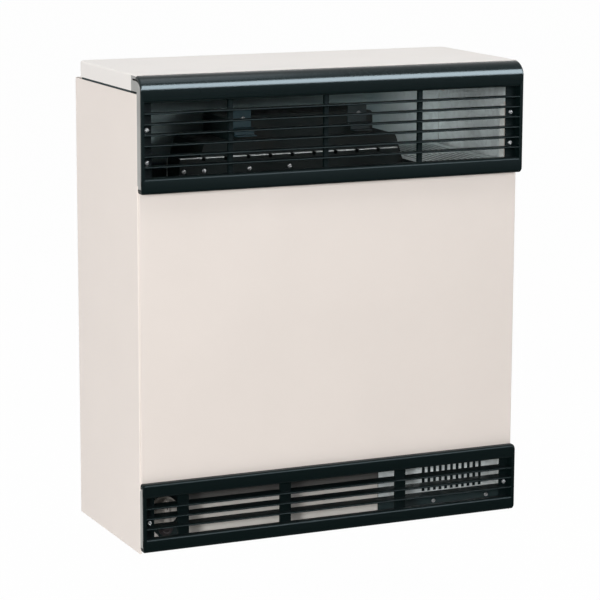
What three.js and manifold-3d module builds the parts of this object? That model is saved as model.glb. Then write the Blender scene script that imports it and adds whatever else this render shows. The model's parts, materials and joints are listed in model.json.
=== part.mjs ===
// Wall mounted gas heater: a room-sealed convector with a concentric flue through the wall.
// Millimetres. X runs to the right seen from the room, Y into the wall and Z up.
// Pieces are drawn up from the casing's underside. The whole is then lowered, so that the
// origin is on the wall face midway between the two upper screws that it hangs on.

import * as THREE from 'three';
import { mergeVertices } from 'three/addons/utils/BufferGeometryUtils.js';
import Module from 'manifold-3d';

const wasm = await Module();
wasm.setup();

// ---------------------------------------------------------------- driving dimensions

const SEAT = 0.3; // gap between pieces that rest on each other
const RUNNING = 0.35; // radial clearance round what slides or turns
const LOOSE = 0.4; // radial clearance round what only passes through

// Casing
const WIDTH = 570; // across the outer faces of the side panels
const HEIGHT = 650; // casing underside to the top of the cover
const DEPTH = 249; // wall face to the front edge of the side panels
const SHEET = 1; // side panels and cover
const THIN_SHEET = 0.8; // front panel, liners, shields and guard
const PLATE = 1.5; // structural plate
const REAR_BEND = 10; // outer radius of a side panel's rear corner
const FRONT_BEND = 1.8; // outer radius of a side panel's front corner
const SIDE_FLANGE = 18; // front flange of a side panel
const FLANGE_LIFT = 2; // its lower end above the lower grille's
const REAR_FLANGE = 30; // rear flange of a side panel, over the back plate
const PANEL_SEAM = 1.8; // casing side to the front panel's edge
const PANEL_HEM = 12; // folded edge of the front panel
const HEM_GAP = 0.2;
const PANEL_TUCK = 10; // how far the front panel runs behind each grille
const COVER_GAP = 3; // shadow gap between the side panels and the cover
const COVER_SKIRT = 22;
const COVER_REAR = 20; // wall face to the back of the cover
const COVER_CORNER = 14; // plan radius of the cover's rear corners
const COVER_EDGE = 2.5; // radius along the cover's top edges
const SKIRT_SETBACK = 20; // front end of the skirt, behind the side panels' front edge
const SUPPORT_RISE = 37; // foot of a cover support, below the side panel's top
const SUPPORT_SHELF = 18;

// Grilles
const LOUVRE_PITCH = 14.2;
const BLADE = 2.2;
const BLADE_SETBACK = 0.3; // blade edge behind the grille's face
const MOULDING_WALL = 3;
const UPPER_PROUD = 16.5; // upper grille's face in front of the side panels
const UPPER_BAND = 21.5; // plain band under the upper louvres
const NOSE_BAND = 34.3; // upper louvres to the crown
const UPPER_BLADES = 6;
const UPPER_BLADE_DEPTH = 15;
const UPPER_EDGE = 4; // radius of the lower front edge
const NOSE_RADIUS = 18.5; // rounded crown
const CROWN_REACH = 14; // crown's rear edge behind the side panels' front plane
const UPPER_RIB = 7;
const UPPER_RIB_SHARES = [-0.268, -0.021, 0.229]; // of the width, from the centre line
const LOWER_PROUD = 12.5;
const LOWER_BOTTOM = 4; // casing underside to the lower grille
const LOWER_BAND = 19;
const LOWER_TOP_BAND = 19.2;
const LOWER_BLADES = 3;
const LOWER_BLADE_DEPTH = 18;
const LOWER_BLADE_TILT = 6; // degrees, front edge down
const LOWER_EDGE = 3.5;
const LOWER_RIB = 16;
const LOWER_RIB_SHARES = [-0.392, -0.125, 0.186];
const RIB_FRONT = 2; // a rib's face in front of the bands' rear edges
const RIB_BACK = 2.8; // a rib's back behind them
const END_FLANGE = 19.4; // inner edge of a grille's end flange, from the casing's side
const FLANGE_WALL = 2.2;
const END_WALL = 2;
const CAP = 2.4; // end cap thickness
const CAP_GAP = 0.45; // a cap's outline inside its grille's moulding
const LUG_REACH = 19.7; // upper cap's lug behind the side panels' front plane
const LUG_STEP = 3.6; // where the crown starts to cover the cap

// Screws
const SCREW_HEAD = 3.2; // radius
const SCREW_DOME = 2.2;
const SCREW_SHANK = 1.9;
const SCREW_HOLE = 2.2;
const SCREW_LENGTH = 8;
const SCREW_INSET = 12.5; // from the casing's side
const UPPER_SCREWS = [1.375, 4.415]; // in louvre pitches above the lower band, between blades
const LOWER_SCREW = 1.445;

// Back
const BACK_INSET = 11; // back plate's edge from the casing's side
const BACK_BOTTOM = 14;
const BACK_TOP_GAP = 44; // under the cover's top
const BACK_LIP = 12;
const KEYHOLE_HEAD = 5.5; // radius
const KEYHOLE_SLOT = 3; // radius
const KEYHOLE_RISE = 12;
const KEYHOLE_X = 190; // from the centre line
const KEYHOLE_MARGIN = 50; // from the back plate's top and bottom
const SHIELD_STANDOFF = 16; // wall face to the rear shield's face
const SHIELD_MARGIN = 18; // inside the back plate's height
const LINER_BOTTOM = 110;
const LINER_TOP_GAP = 65;
const LINER_SETBACK = 33; // behind the side panels' front plane
const LINER_FLANGE = 8;

// Heat exchanger
const CHAMBER_LEFT = -165;
const CHAMBER_RIGHT = 150;
const CHAMBER_SHOULDER = 12; // how far the ends lean in at the top
const CHAMBER_SHOULDER_HEIGHT = 39;
const CHAMBER_BOTTOM = 140;
const CHAMBER_TOP_GAP = 105; // under the cover's top
const CHAMBER_REAR = 52; // wall face to the chamber's back
const CHAMBER_SETBACK = 88; // chamber's face behind the side panels' front plane
const HOOD_LEFT = -115;
const HOOD_RIGHT = 108;
const HOOD_HEIGHT = 32;
const HOOD_INSET = 12; // from the chamber's front and back
const HOOD_WAY_INSET = [10, 8]; // rim round the way into it: at the ends, in front and behind
const HOOD_BRACKETS = [-94, 83]; // bracket centre lines
const HOOD_BRACKET = [29, 26, 11]; // width, height and ledge
const HOOD_BRACKET_STEP = 9; // its foot below the ledge
const HOOD_BRACKET_RISE = 10; // its top above the hood's
const HOOD_SCREW = 2; // screw to the right of its centre line
const SHIELD_LEFT = -194; // front shield
const SHIELD_RIGHT = 137;
const SHIELD_AHEAD = 10; // before the chamber's face
const SHIELD_CLEAR = 10; // its foot over the access cover's top
const SHIELD_RISE = 20; // its top under the chamber's
const SHIELD_NOTCHES = 9;
const SHIELD_NOTCH = 5;
const SUPPORT_INSET = 13; // exchanger support's foot, inside the chamber's end
const SUPPORT_STEP = 24;
const SUPPORT_MARGIN = 37.5; // support's ends inside the chamber's height

// Flue
const FLUE_X = -4;
const FLUE_DROP = 145; // flue axis below the chamber's top
const FLUE_RADIUS = 45; // exhaust duct, outside
const AIR_RADIUS = 67.5; // air duct, outside
const DUCT_WALL = 1.2;
const DUCT_FLANGE = 12;
const AIR_BOX_MARGIN = 9; // air box round the air duct
const AIR_BOX_DEPTH = 30;
const AIR_FOOT_TOP = 134;
const AIR_FOOT_RISE = 4; // above the burner box's floor
const AIR_PORT = 50; // half width of the port into the burner box

// Burner
const BOX_INSET = 40; // burner box inside the chamber's ends
const BOX_FRONT = 15; // behind the chamber's face
const BOX_REAR = 18; // in front of the chamber's back
const BOX_BOTTOM = 62;
const BURNER_RADIUS = 14;
const BURNER_Z = 100;
const BURNER_PORTS = 10;
const INJECTOR_RADIUS = 5;
const INJECTOR_HEX = 8;
const INJECTOR_LENGTH = 12; // outside the burner box
const SIGHT_RADIUS = 13;
const SIGHT_X = 44;
const PILOT_AHEAD = 22; // pilot in front of the burner's axis
const PILOT_X = -80;
const PILOT_TUBE = 4; // radius
const ELECTRODE_X = -66;
const INSULATOR = 3.4; // radius
const THERMOCOUPLE_X = -96;
const THERMOCOUPLE = 2.6; // radius
const PILOT_PLATE_Z = 92;

// Controls
const BRACKET_SETBACK = 44; // control bracket behind the side panels' front plane
const BRACKET_INSET = 9; // from the casing's side
const BRACKET_WIDTH = 76;
const BRACKET_BOTTOM = 8;
const BRACKET_TOP = 92;
const KNOB_SIDE = 46; // knob axis from the casing's side
const KNOB_Z = 48;
const KNOB_RADIUS = 21;
const KNOB_HEIGHT = 16;
const KNOB_STANDOFF = 11; // control bracket to the knob's back
const SPINDLE_RADIUS = 3;
const SLEEVE_RADIUS = 5.6;
const SLEEVE_LENGTH = 22;
const KNOB_TRAVEL = 4;
const VALVE = [46, 34, 50]; // width, height and depth of the valve block
const VALVE_BOSS = [12, 4]; // radius and length of the boss round the spindle
const MAGNET_UNIT = [11, 22];
const INLET_PORT = [8, 6];
const OUTLET_PORT = [8, 6];
const PILOT_PORT = [4, 5];
const OUTLET_DEPTH = 25; // outlet port behind the valve's face
const PILOT_DEPTH = 10;
const PORT_DROP = 8; // inlet and pilot ports below the spindle
const BUTTON_SIDE = 53;
const BUTTON_Z = 19.5;
const BUTTON_RADIUS = 5.4;
const BUTTON_PROUD = 8;
const BUTTON_LENGTH = 17;
const BUTTON_TRAVEL = 5;
const PIEZO_RADIUS = 8;
const PIEZO_LENGTH = 46;
const PIEZO_RIM = 2.5;
const PIEZO_STUD = 6;
const INLET_SIDE = 35; // gas inlet axis from the casing's side
const INLET_Y = -60;
const INLET_RADIUS = 8;
const INLET_HEX = 10; // across the corners, halved
const INLET_LENGTH = 22;
const INLET_SHOULDER = 12; // top of the fitting's hexagon
const PIPE_RADIUS = 5;
const PILOT_PIPE = 2; // radius
const LEAD = 2.2; // radius of the ignition lead
const THERMOCOUPLE_LEAD = 1.2; // radius
const CAPILLARY = 1; // radius
const PHIAL = [-180, -95, -32, 52]; // left end, right end, y and z
const PHIAL_RADIUS = 5;

// Guard and access cover
const FRONT_SETBACK = 23; // behind the side panels' front plane
const GUARD_SIDE = 11; // right edge from the casing's side
const GUARD_BOTTOM = 30;
const GUARD_SLOT_LEFT = 153.6;
const GUARD_PITCH = 9.1;
const GUARD_SLOT = 5;
const GUARD_SLOTS = 11;
const GUARD_SLOT_HEIGHT = [35, 76];
const SHELF_LEFT = CHAMBER_RIGHT + 3;
const SHELF_SLOTS_LEFT = CHAMBER_RIGHT + 16;
const SHELF_MARGINS = [10, 12]; // plain strips at its front and back
const SHELF_RIB = 12; // plain strip between its two rows of slots
const SHELF_END = 10; // plain strip at its right end
const SHELF_DROP = 38; // guard shelf below the chamber's top
const ACCESS_LAP = 13; // how far the access cover runs over the control bracket
const ACCESS_RIGHT = 84;
const GUARD_LEFT = ACCESS_RIGHT + THIN_SHEET / 2 + SEAT;
const ACCESS_BOTTOM = 10;
const ACCESS_TOP = 118;

// ---------------------------------------------------------------- worked out from them

const HALF = WIDTH / 2;
const FACE = -DEPTH;
const SIDE_TOP = HEIGHT - COVER_SKIRT - COVER_GAP;
const SIDE_INNER = HALF - SHEET;
const GRILLE_BACK = FACE - SEAT;
const PANEL_THICKNESS = 2 * THIN_SHEET + HEM_GAP;
const PANEL_FACE = GRILLE_BACK - PANEL_THICKNESS;
const BAND_BACK = PANEL_FACE - SEAT;
const UPPER_FACE = FACE - UPPER_PROUD;
const UPPER_CROWN = HEIGHT - SHEET - SEAT;
const UPPER_LOUVRES_TOP = UPPER_CROWN - NOSE_BAND;
const UPPER_LOUVRES = UPPER_LOUVRES_TOP - (UPPER_BLADES + 1) * LOUVRE_PITCH;
const UPPER_BOTTOM = UPPER_LOUVRES - UPPER_BAND;
const LOWER_FACE = FACE - LOWER_PROUD;
const LOWER_LOUVRES = LOWER_BOTTOM + LOWER_BAND;
const LOWER_LOUVRES_TOP = LOWER_LOUVRES + (LOWER_BLADES + 1) * LOUVRE_PITCH;
const LOWER_TOP = LOWER_LOUVRES_TOP + LOWER_TOP_BAND;
const UPPER_SCREW_LEVELS = UPPER_SCREWS.map((count) => UPPER_LOUVRES + count * LOUVRE_PITCH);
const LOWER_SCREW_LEVEL = LOWER_LOUVRES + LOWER_SCREW * LOUVRE_PITCH;
const PANEL_BOTTOM = LOWER_TOP - PANEL_TUCK;
const PANEL_TOP = UPPER_BOTTOM + PANEL_TUCK;
const CAP_INNER = HALF - CAP - SEAT; // outer face of a grille's end wall
const CAP_ENDS = [[-HALF - 1, -CAP_INNER], [CAP_INNER, HALF + 1]]; // where the caps sit
const FLANGE_FRONT = GRILLE_BACK - FLANGE_WALL;

const BACK_TOP = HEIGHT - BACK_TOP_GAP;
const HANGING_LEVEL = BACK_TOP - KEYHOLE_MARGIN + KEYHOLE_RISE; // of the upper screws
const SHIELD_FACE = -SHIELD_STANDOFF;
const ON_SHIELD = SHIELD_FACE - SEAT;
const CHAMBER_TOP = HEIGHT - CHAMBER_TOP_GAP;
const CHAMBER_FACE = FACE + CHAMBER_SETBACK;
const FLUE_Z = CHAMBER_TOP - FLUE_DROP;
const FRONT_PLATES = FACE + FRONT_SETBACK;
const BOX_LEFT = CHAMBER_LEFT + BOX_INSET;
const BOX_RIGHT = CHAMBER_RIGHT - BOX_INSET;
const BOX_FACE = CHAMBER_FACE + BOX_FRONT;
const BOX_BACK = -CHAMBER_REAR - BOX_REAR;
const BURNER_Y = (BOX_FACE + BOX_BACK) / 2;
const PILOT_Y = BURNER_Y - PILOT_AHEAD;
const BRACKET_Y = FACE + BRACKET_SETBACK;
const BRACKET_BACK = BRACKET_Y + PLATE / 2;
const BRACKET_FRONT = BRACKET_Y - PLATE / 2;
const BRACKET_RIGHT = -HALF + BRACKET_INSET + BRACKET_WIDTH;
const KNOB_X = -HALF + KNOB_SIDE;
const BUTTON_X = -HALF + BUTTON_SIDE;
const VALVE_FRONT = BRACKET_BACK + SEAT + VALVE_BOSS[1];
const VALVE_REAR = VALVE_FRONT + VALVE[2];
const VALVE_RIGHT = KNOB_X + VALVE[0] / 2;
const OUTLET_Y = VALVE_FRONT + OUTLET_DEPTH;
const PILOT_PORT_Y = VALVE_FRONT + PILOT_DEPTH;
const LOW_PORTS = KNOB_Z - PORT_DROP;
const MAGNET_X = KNOB_X + 8;
const LEADS_Y = PILOT_Y + 32; // where both leads pass the control bracket's wing
const LEADS_Z = BOX_BOTTOM - 32;
const INLET_X = -HALF + INLET_SIDE;

// ---------------------------------------------------------------- geometry helpers

const AXES = {
  x: new THREE.Matrix4().makeBasis(vec(0, 1, 0), vec(0, 0, 1), vec(1, 0, 0)),
  y: new THREE.Matrix4().makeBasis(vec(1, 0, 0), vec(0, 0, 1), vec(0, -1, 0)),
  z: new THREE.Matrix4(),
};

function vec(x, y, z) {
  return new THREE.Vector3(x, y, z);
}

// A closed solid from a geometry whose shared corners are merged.
function solidFrom(geometry) {
  geometry.deleteAttribute('normal');
  geometry.deleteAttribute('uv');
  const merged = mergeVertices(geometry, 1e-4);
  const corners = merged.index.array;
  const kept = [];
  for (let i = 0; i < corners.length; i += 3) {
    const [a, b, c] = corners.slice(i, i + 3);
    if (a !== b && b !== c && c !== a) kept.push(a, b, c);
  }
  const vertProperties = new Float32Array(merged.attributes.position.array);
  const make = (order) => {
    const triVerts = new Uint32Array(order);
    return new wasm.Manifold(new wasm.Mesh({ numProp: 3, vertProperties, triVerts }));
  };
  const solid = make(kept);
  return solid.volume() > 0 ? solid : make(kept.toReversed());
}

function join(...solids) {
  return solids.flat().reduce((whole, next) => whole.add(next));
}

function cut(solid, ...tools) {
  return tools.flat().reduce((rest, tool) => rest.subtract(tool), solid);
}

function block([x0, x1], [y0, y1], [z0, z1]) {
  const box = new THREE.BoxGeometry(x1 - x0, y1 - y0, z1 - z0);
  return solidFrom(box.translate((x0 + x1) / 2, (y0 + y1) / 2, (z0 + z1) / 2));
}

// An outline carried along an axis. Its plane is YZ along x, XZ along y and XY along z.
function prism(points, axis, from, to) {
  const depth = to - from;
  const geometry = new THREE.ExtrudeGeometry(new THREE.Shape(points), { depth, bevelEnabled: false });
  geometry.applyMatrix4(AXES[axis]);
  const start = { x: [from, 0, 0], y: [0, to, 0], z: [0, 0, from] }[axis];
  return solidFrom(geometry.translate(...start));
}

function arc(u, v, radius, start, sweep, steps) {
  return Array.from({ length: steps + 1 }, (_, i) => {
    const angle = start + (sweep * i) / steps;
    return new THREE.Vector2(u + radius * Math.cos(angle), v + radius * Math.sin(angle));
  });
}

function circle(u, v, radius, sides = 16) {
  return arc(u, v, radius, Math.PI / sides, 2 * Math.PI, sides).slice(1);
}

function rod(axis, u, v, radius, from, to, sides = 16) {
  return prism(circle(u, v, radius, sides), axis, from, to);
}

function ring(axis, u, v, outer, inner, from, to, sides = 20) {
  return cut(rod(axis, u, v, outer, from, to, sides), rod(axis, u, v, inner, from - 1, to + 1, sides));
}

// The arc that rounds one corner, from the leg it arrives on to the leg it leaves on.
function cornerArc(before, corner, after, radius) {
  const arriving = before.clone().sub(corner).normalize();
  const leaving = after.clone().sub(corner).normalize();
  const half = Math.acos(THREE.MathUtils.clamp(arriving.dot(leaving), -1, 1)) / 2;
  const middle = arriving.clone().add(leaving).normalize();
  const centre = corner.clone().addScaledVector(middle, radius / Math.sin(half));
  const from = corner.clone().addScaledVector(arriving, radius / Math.tan(half)).sub(centre);
  const to = corner.clone().addScaledVector(leaving, radius / Math.tan(half)).sub(centre);
  let sweep = to.angle() - from.angle();
  if (sweep > Math.PI) sweep -= 2 * Math.PI;
  if (sweep < -Math.PI) sweep += 2 * Math.PI;
  const steps = Math.max(2, Math.round(Math.abs(sweep) * (1 + Math.sqrt(radius) / 2)));
  const points = arc(centre.x, centre.y, radius, from.angle(), sweep, steps);
  return { points, centre, turn: Math.sign(sweep) };
}

// A closed outline from [u, v, radius] corners.
function outline(corners) {
  const points = corners.map(([u, v]) => new THREE.Vector2(u, v));
  return points.flatMap((point, i) => {
    const radius = corners[i][2];
    if (!radius) return [point];
    const before = points.at(i - 1);
    return cornerArc(before, point, points[(i + 1) % points.length], radius).points;
  });
}

// The section of a bent sheet: its middle line's [u, v, radius] corners, given half its
// thickness to each side.
function sheet(corners, thickness) {
  const points = corners.map(([u, v]) => new THREE.Vector2(u, v));
  const left = [];
  const right = [];
  const add = (point, normal) => {
    left.push(point.clone().addScaledVector(normal, thickness / 2));
    right.unshift(point.clone().addScaledVector(normal, -thickness / 2));
  };
  const legNormal = (i) => {
    const leg = points[i + 1].clone().sub(points[i]).normalize();
    return new THREE.Vector2(-leg.y, leg.x);
  };
  add(points[0], legNormal(0));
  for (let i = 1; i < points.length - 1; i += 1) {
    const radius = corners[i][2] ?? thickness;
    const bend = cornerArc(points[i - 1], points[i], points[i + 1], radius);
    for (const point of bend.points) {
      add(point, point.clone().sub(bend.centre).multiplyScalar(-bend.turn / radius));
    }
  }
  add(points.at(-1), legNormal(points.length - 2));
  return [...left, ...right];
}

// A turned piece about an axis parallel to Y, from its [radius, y] profile.
function turned(profile, sides = 24) {
  return solidFrom(new THREE.LatheGeometry(profile.map(([r, y]) => new THREE.Vector2(r, y)), sides));
}

// A round pipe or wire along a smooth line through its points.
function pipe(route, radius, steps, sides = 8) {
  const extrudePath = new THREE.CatmullRomCurve3(route.map((point) => vec(...point)), false, 'centripetal');
  const shape = new THREE.Shape(circle(0, 0, radius, sides));
  return solidFrom(new THREE.ExtrudeGeometry(shape, { steps, extrudePath, bevelEnabled: false }));
}

// A slab whose vertical edges follow an outline and whose upper edge is rounded.
function crownedSlab(corners, bottom, top, edge) {
  const settings = {
    depth: top - bottom,
    bevelThickness: edge,
    bevelSize: edge,
    bevelOffset: -edge,
    bevelSegments: 4,
  };
  const geometry = new THREE.ExtrudeGeometry(new THREE.Shape(outline(corners)), settings);
  return solidFrom(geometry.translate(0, 0, bottom));
}

function mesh(name, solid, finish) {
  const { vertProperties, triVerts } = solid.getMesh();
  const geometry = new THREE.BufferGeometry();
  geometry.setAttribute('position', new THREE.BufferAttribute(vertProperties, 3));
  geometry.setIndex(new THREE.BufferAttribute(triVerts, 1));
  geometry.computeVertexNormals();
  const piece = new THREE.Mesh(geometry, finish);
  piece.name = name;
  return piece;
}

function placed(piece, x, y, z) {
  piece.position.set(x, y, z);
  return piece;
}

function group(...pieces) {
  return new THREE.Group().add(...pieces.flat());
}

function finish(color, roughness, metalness = 0) {
  return new THREE.MeshStandardMaterial({ color, roughness, metalness });
}

const CREAM = finish(0xe4dcd5, 0.45);
const BLACK_GLOSS = finish(0x0c1618, 0.25);
const CAP_GREY = finish(0xa9a9ab, 0.4);
const GALVANISED = finish(0x9da3a3, 0.4, 0.8);
const DARK_SHEET = finish(0x2f4347, 0.5, 0.3);
const STOVE_BLACK = finish(0x111514, 0.6);
const BEIGE = finish(0x878479, 0.6);
const BRACKET_TEAL = finish(0x3c5560, 0.5, 0.4);
const STEEL = finish(0x8f9496, 0.35, 0.9);
const ALUMINIUM = finish(0xb5b8ba, 0.4, 0.9);
const BRASS = finish(0xb08d4a, 0.35, 0.9);
const COPPER = finish(0xb06a45, 0.4, 0.9);
const KNOB_GREY = finish(0xb4b4b0, 0.4);
const BUTTON_BLACK = finish(0x1c1f20, 0.35);
const CERAMIC = finish(0xe8e4da, 0.3);
const GASKET_WHITE = finish(0xcfcac0, 0.9);
const GLASS = finish(0xbfd0d2, 0.1);
const LEAD_RED = finish(0x7a1f1c, 0.5);

// ---------------------------------------------------------------- casing

// A side panel, bent inward at the front for the grilles and at the rear over the back plate.
function sidePanel(side) {
  const line = HALF - SHEET / 2;
  const rear = -PLATE - SEAT - SHEET / 2;
  const section = sheet([
    [side * (HALF - REAR_FLANGE), rear],
    [side * line, rear, REAR_BEND - SHEET / 2],
    [side * line, FACE + SHEET / 2, FRONT_BEND - SHEET / 2],
    [side * (HALF - SIDE_FLANGE), FACE + SHEET / 2],
  ], SHEET);
  const screwX = side * (HALF - SCREW_INSET);
  const depth = [FACE - 1, FACE + SHEET + 1];
  const levels = [...UPPER_SCREW_LEVELS, LOWER_SCREW_LEVEL];
  const holes = levels.map((z) => rod('y', screwX, z, SCREW_HOLE, ...depth, 12));
  const flange = [side * (HALF - SIDE_FLANGE - 1), side * (HALF - FRONT_BEND)];
  const foot = block(flange.sort((a, b) => a - b), depth, [-1, LOWER_BOTTOM + FLANGE_LIFT]);
  return cut(prism(section, 'z', 0, SIDE_TOP), holes, foot);
}

// A flat sheet with its two upright edges folded flat behind it.
function frontPanel() {
  const edge = HALF - PANEL_SEAM - THIN_SHEET / 2;
  const front = PANEL_FACE + THIN_SHEET / 2;
  const back = GRILLE_BACK - THIN_SHEET / 2;
  const bend = (back - front) / 2 - 0.01;
  const hem = (side) => [
    [side * (edge - PANEL_HEM), back],
    [side * edge, back, bend],
    [side * edge, front, bend],
  ];
  const section = sheet([...hem(-1), ...hem(1).reverse()], THIN_SHEET);
  return prism(section, 'z', PANEL_BOTTOM, PANEL_TOP);
}

// A shallow pan with a skirt round its sides and back. In front its sheet runs on alone, over
// the crown of the upper grille.
function topCover() {
  const beyond = FACE - UPPER_PROUD - COVER_CORNER;
  const plan = (inset) => [
    [-HALF + inset, beyond],
    [HALF - inset, beyond],
    [HALF - inset, -COVER_REAR - inset, COVER_CORNER - inset],
    [-HALF + inset, -COVER_REAR - inset, COVER_CORNER - inset],
  ];
  const low = HEIGHT - 2 * COVER_SKIRT;
  const outer = crownedSlab(plan(0), low, HEIGHT - COVER_EDGE, COVER_EDGE);
  const edge = COVER_EDGE - SHEET;
  const inner = crownedSlab(plan(SHEET), low - COVER_SKIRT, HEIGHT - SHEET - edge, edge);
  const across = [-WIDTH, WIDTH];
  return cut(
    outer,
    inner,
    block(across, [-DEPTH * 2, 0], [low - COVER_SKIRT, HEIGHT - COVER_SKIRT]),
    block(across, [-DEPTH * 2, UPPER_FACE + NOSE_RADIUS + SEAT], [low, HEIGHT + 1]),
    block(across, [-DEPTH * 2, FACE + SKIRT_SETBACK], [low, HEIGHT - SHEET]),
  );
}

// An angle inside each side, which carries the cover clear of the side panel.
function coverSupport(side) {
  const line = SIDE_INNER - SEAT - THIN_SHEET / 2;
  const shelf = HEIGHT - SHEET - SEAT - THIN_SHEET / 2;
  const section = sheet([
    [side * line, SIDE_TOP - SUPPORT_RISE],
    [side * line, shelf, 2],
    [side * (line - SUPPORT_SHELF), shelf],
  ], THIN_SHEET);
  return prism(section, 'y', FACE + SKIRT_SETBACK + 3, -COVER_REAR - COVER_CORNER);
}

// ---------------------------------------------------------------- grilles

function bladeSection(depth) {
  const half = BLADE / 2;
  return outline([
    [0, -half, half * 0.9],
    [depth, -half],
    [depth, half],
    [0, half, half * 0.9],
  ]);
}

// Blades across a grille: each at its height, tilted about its middle, front edge down.
function louvres(count, lowest, face, depth, tilt) {
  const angle = THREE.MathUtils.degToRad(tilt);
  const section = bladeSection(depth).map((point) => {
    const arm = point.clone().sub(new THREE.Vector2(depth / 2, 0));
    return arm.rotateAround(new THREE.Vector2(), angle).add(new THREE.Vector2(depth / 2, 0));
  });
  return Array.from({ length: count }, (_, i) => {
    const lift = new THREE.Vector2(face + BLADE_SETBACK, lowest + (i + 1) * LOUVRE_PITCH);
    const placed = section.map((point) => point.clone().add(lift));
    return prism(placed, 'x', -CAP_INNER + END_WALL / 2, CAP_INNER - END_WALL / 2);
  });
}

function ribs(shares, width, bottom, top) {
  return shares.map((share) => {
    const x = share * WIDTH;
    const depth = [BAND_BACK - RIB_FRONT, BAND_BACK + RIB_BACK];
    return block([x - width / 2, x + width / 2], depth, [bottom, top]);
  });
}

// What closes each end of a grille: an end wall, a front stile over the cap's edge and a
// recessed flange that is screwed to the side panel.
function grilleEnd(side, face, wall, stile, flange, screws) {
  const span = (from, to) => (side > 0 ? [from, to] : [-to, -from]);
  const [inner, outer] = span(CAP_INNER - END_WALL, CAP_INNER);
  const screwX = side * (HALF - SCREW_INSET);
  const holes = screws.map((z) => rod('y', screwX, z, SCREW_HOLE, FLANGE_FRONT - 1, FACE, 12));
  return join(
    prism(outline(wall), 'x', inner, outer),
    block(span(CAP_INNER - END_WALL, HALF), [face, face + MOULDING_WALL], stile),
    cut(block(span(HALF - END_FLANGE, CAP_INNER), [FLANGE_FRONT, GRILLE_BACK], flange), holes),
  );
}

function upperGrille() {
  const wall = MOULDING_WALL;
  const line = UPPER_FACE + wall / 2;
  const nose = sheet([
    [FACE + CROWN_REACH, UPPER_CROWN - wall / 2],
    [line, UPPER_CROWN - wall / 2, NOSE_RADIUS - wall / 2],
    [line, UPPER_LOUVRES_TOP + wall / 2, wall / 2 + 0.5],
    [BAND_BACK, UPPER_LOUVRES_TOP + wall / 2],
  ], wall);
  const band = sheet([
    [BAND_BACK, UPPER_LOUVRES - wall / 2],
    [line, UPPER_LOUVRES - wall / 2, wall / 2 + 0.5],
    [line, UPPER_BOTTOM + wall / 2, UPPER_EDGE - wall / 2],
    [BAND_BACK, UPPER_BOTTOM + wall / 2],
  ], wall);
  const inset = wall - 0.5;
  const endWall = [
    [BAND_BACK, UPPER_BOTTOM + inset],
    [UPPER_FACE + inset, UPPER_BOTTOM + inset, 1],
    [UPPER_FACE + inset, UPPER_CROWN - inset, NOSE_RADIUS - inset],
    [FACE + CROWN_REACH, UPPER_CROWN - inset],
    [FACE + CROWN_REACH, SIDE_TOP + COVER_GAP],
    [GRILLE_BACK, SIDE_TOP + COVER_GAP],
    [GRILLE_BACK, PANEL_TOP + SEAT],
    [BAND_BACK, PANEL_TOP + SEAT],
  ];
  const stile = [UPPER_BOTTOM + UPPER_BAND / 2, UPPER_CROWN - NOSE_RADIUS];
  const flange = [PANEL_TOP + SEAT, SIDE_TOP - 2];
  const lugRoom = [FACE + LUG_STEP - SEAT, FACE + CROWN_REACH + 1];
  const body = join(
    prism(nose, 'x', -HALF, HALF),
    prism(band, 'x', -HALF, HALF),
    louvres(UPPER_BLADES, UPPER_LOUVRES, UPPER_FACE, UPPER_BLADE_DEPTH, 0),
    ribs(UPPER_RIB_SHARES, UPPER_RIB, UPPER_LOUVRES - 1, UPPER_LOUVRES_TOP + 1),
    [-1, 1].map((side) => grilleEnd(side, UPPER_FACE, endWall, stile, flange, UPPER_SCREW_LEVELS)),
  );
  const capRoom = [UPPER_FACE + wall, BAND_BACK + 1];
  return cut(body, CAP_ENDS.flatMap((x) => [
    block(x, capRoom, [UPPER_BOTTOM + wall, UPPER_LOUVRES_TOP + wall + 1]),
    block(x, lugRoom, [UPPER_CROWN - wall - 1, HEIGHT]),
  ]));
}

function lowerGrille() {
  const wall = MOULDING_WALL;
  const line = LOWER_FACE + wall / 2;
  const band = (bottom, top) => sheet([
    [BAND_BACK, top - wall / 2],
    [line, top - wall / 2, LOWER_EDGE - wall / 2],
    [line, bottom + wall / 2, LOWER_EDGE - wall / 2],
    [BAND_BACK, bottom + wall / 2],
  ], wall);
  const inset = wall - 0.5;
  const endWall = [
    [GRILLE_BACK, LOWER_BOTTOM + inset],
    [LOWER_FACE + inset, LOWER_BOTTOM + inset, 1],
    [LOWER_FACE + inset, LOWER_TOP - inset, 1],
    [BAND_BACK, LOWER_TOP - inset],
    [BAND_BACK, PANEL_BOTTOM - SEAT],
    [GRILLE_BACK, PANEL_BOTTOM - SEAT],
  ];
  const stile = [LOWER_BOTTOM + LOWER_BAND / 2, LOWER_TOP - LOWER_TOP_BAND / 2];
  const flange = [LOWER_BOTTOM + wall, PANEL_BOTTOM - SEAT];
  const body = join(
    prism(band(LOWER_BOTTOM, LOWER_LOUVRES), 'x', -HALF, HALF),
    prism(band(LOWER_LOUVRES_TOP, LOWER_TOP), 'x', -HALF, HALF),
    louvres(LOWER_BLADES, LOWER_LOUVRES, LOWER_FACE, LOWER_BLADE_DEPTH, LOWER_BLADE_TILT),
    ribs(LOWER_RIB_SHARES, LOWER_RIB, LOWER_LOUVRES - 1, LOWER_LOUVRES_TOP + 1),
    [-1, 1].map((side) => grilleEnd(side, LOWER_FACE, endWall, stile, flange, [LOWER_SCREW_LEVEL])),
  );
  const behind = [GRILLE_BACK, GRILLE_BACK + LOWER_BLADE_DEPTH];
  const clear = HALF - SIDE_FLANGE - SEAT;
  const sides = [[-HALF, -clear], [clear, HALF]];
  const capRoom = [LOWER_FACE + wall, BAND_BACK + 1];
  return cut(
    body,
    sides.map((x) => block(x, behind, [0, LOWER_TOP])),
    CAP_ENDS.map((x) => block(x, capRoom, [LOWER_BOTTOM + wall, LOWER_TOP - wall])),
  );
}

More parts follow.
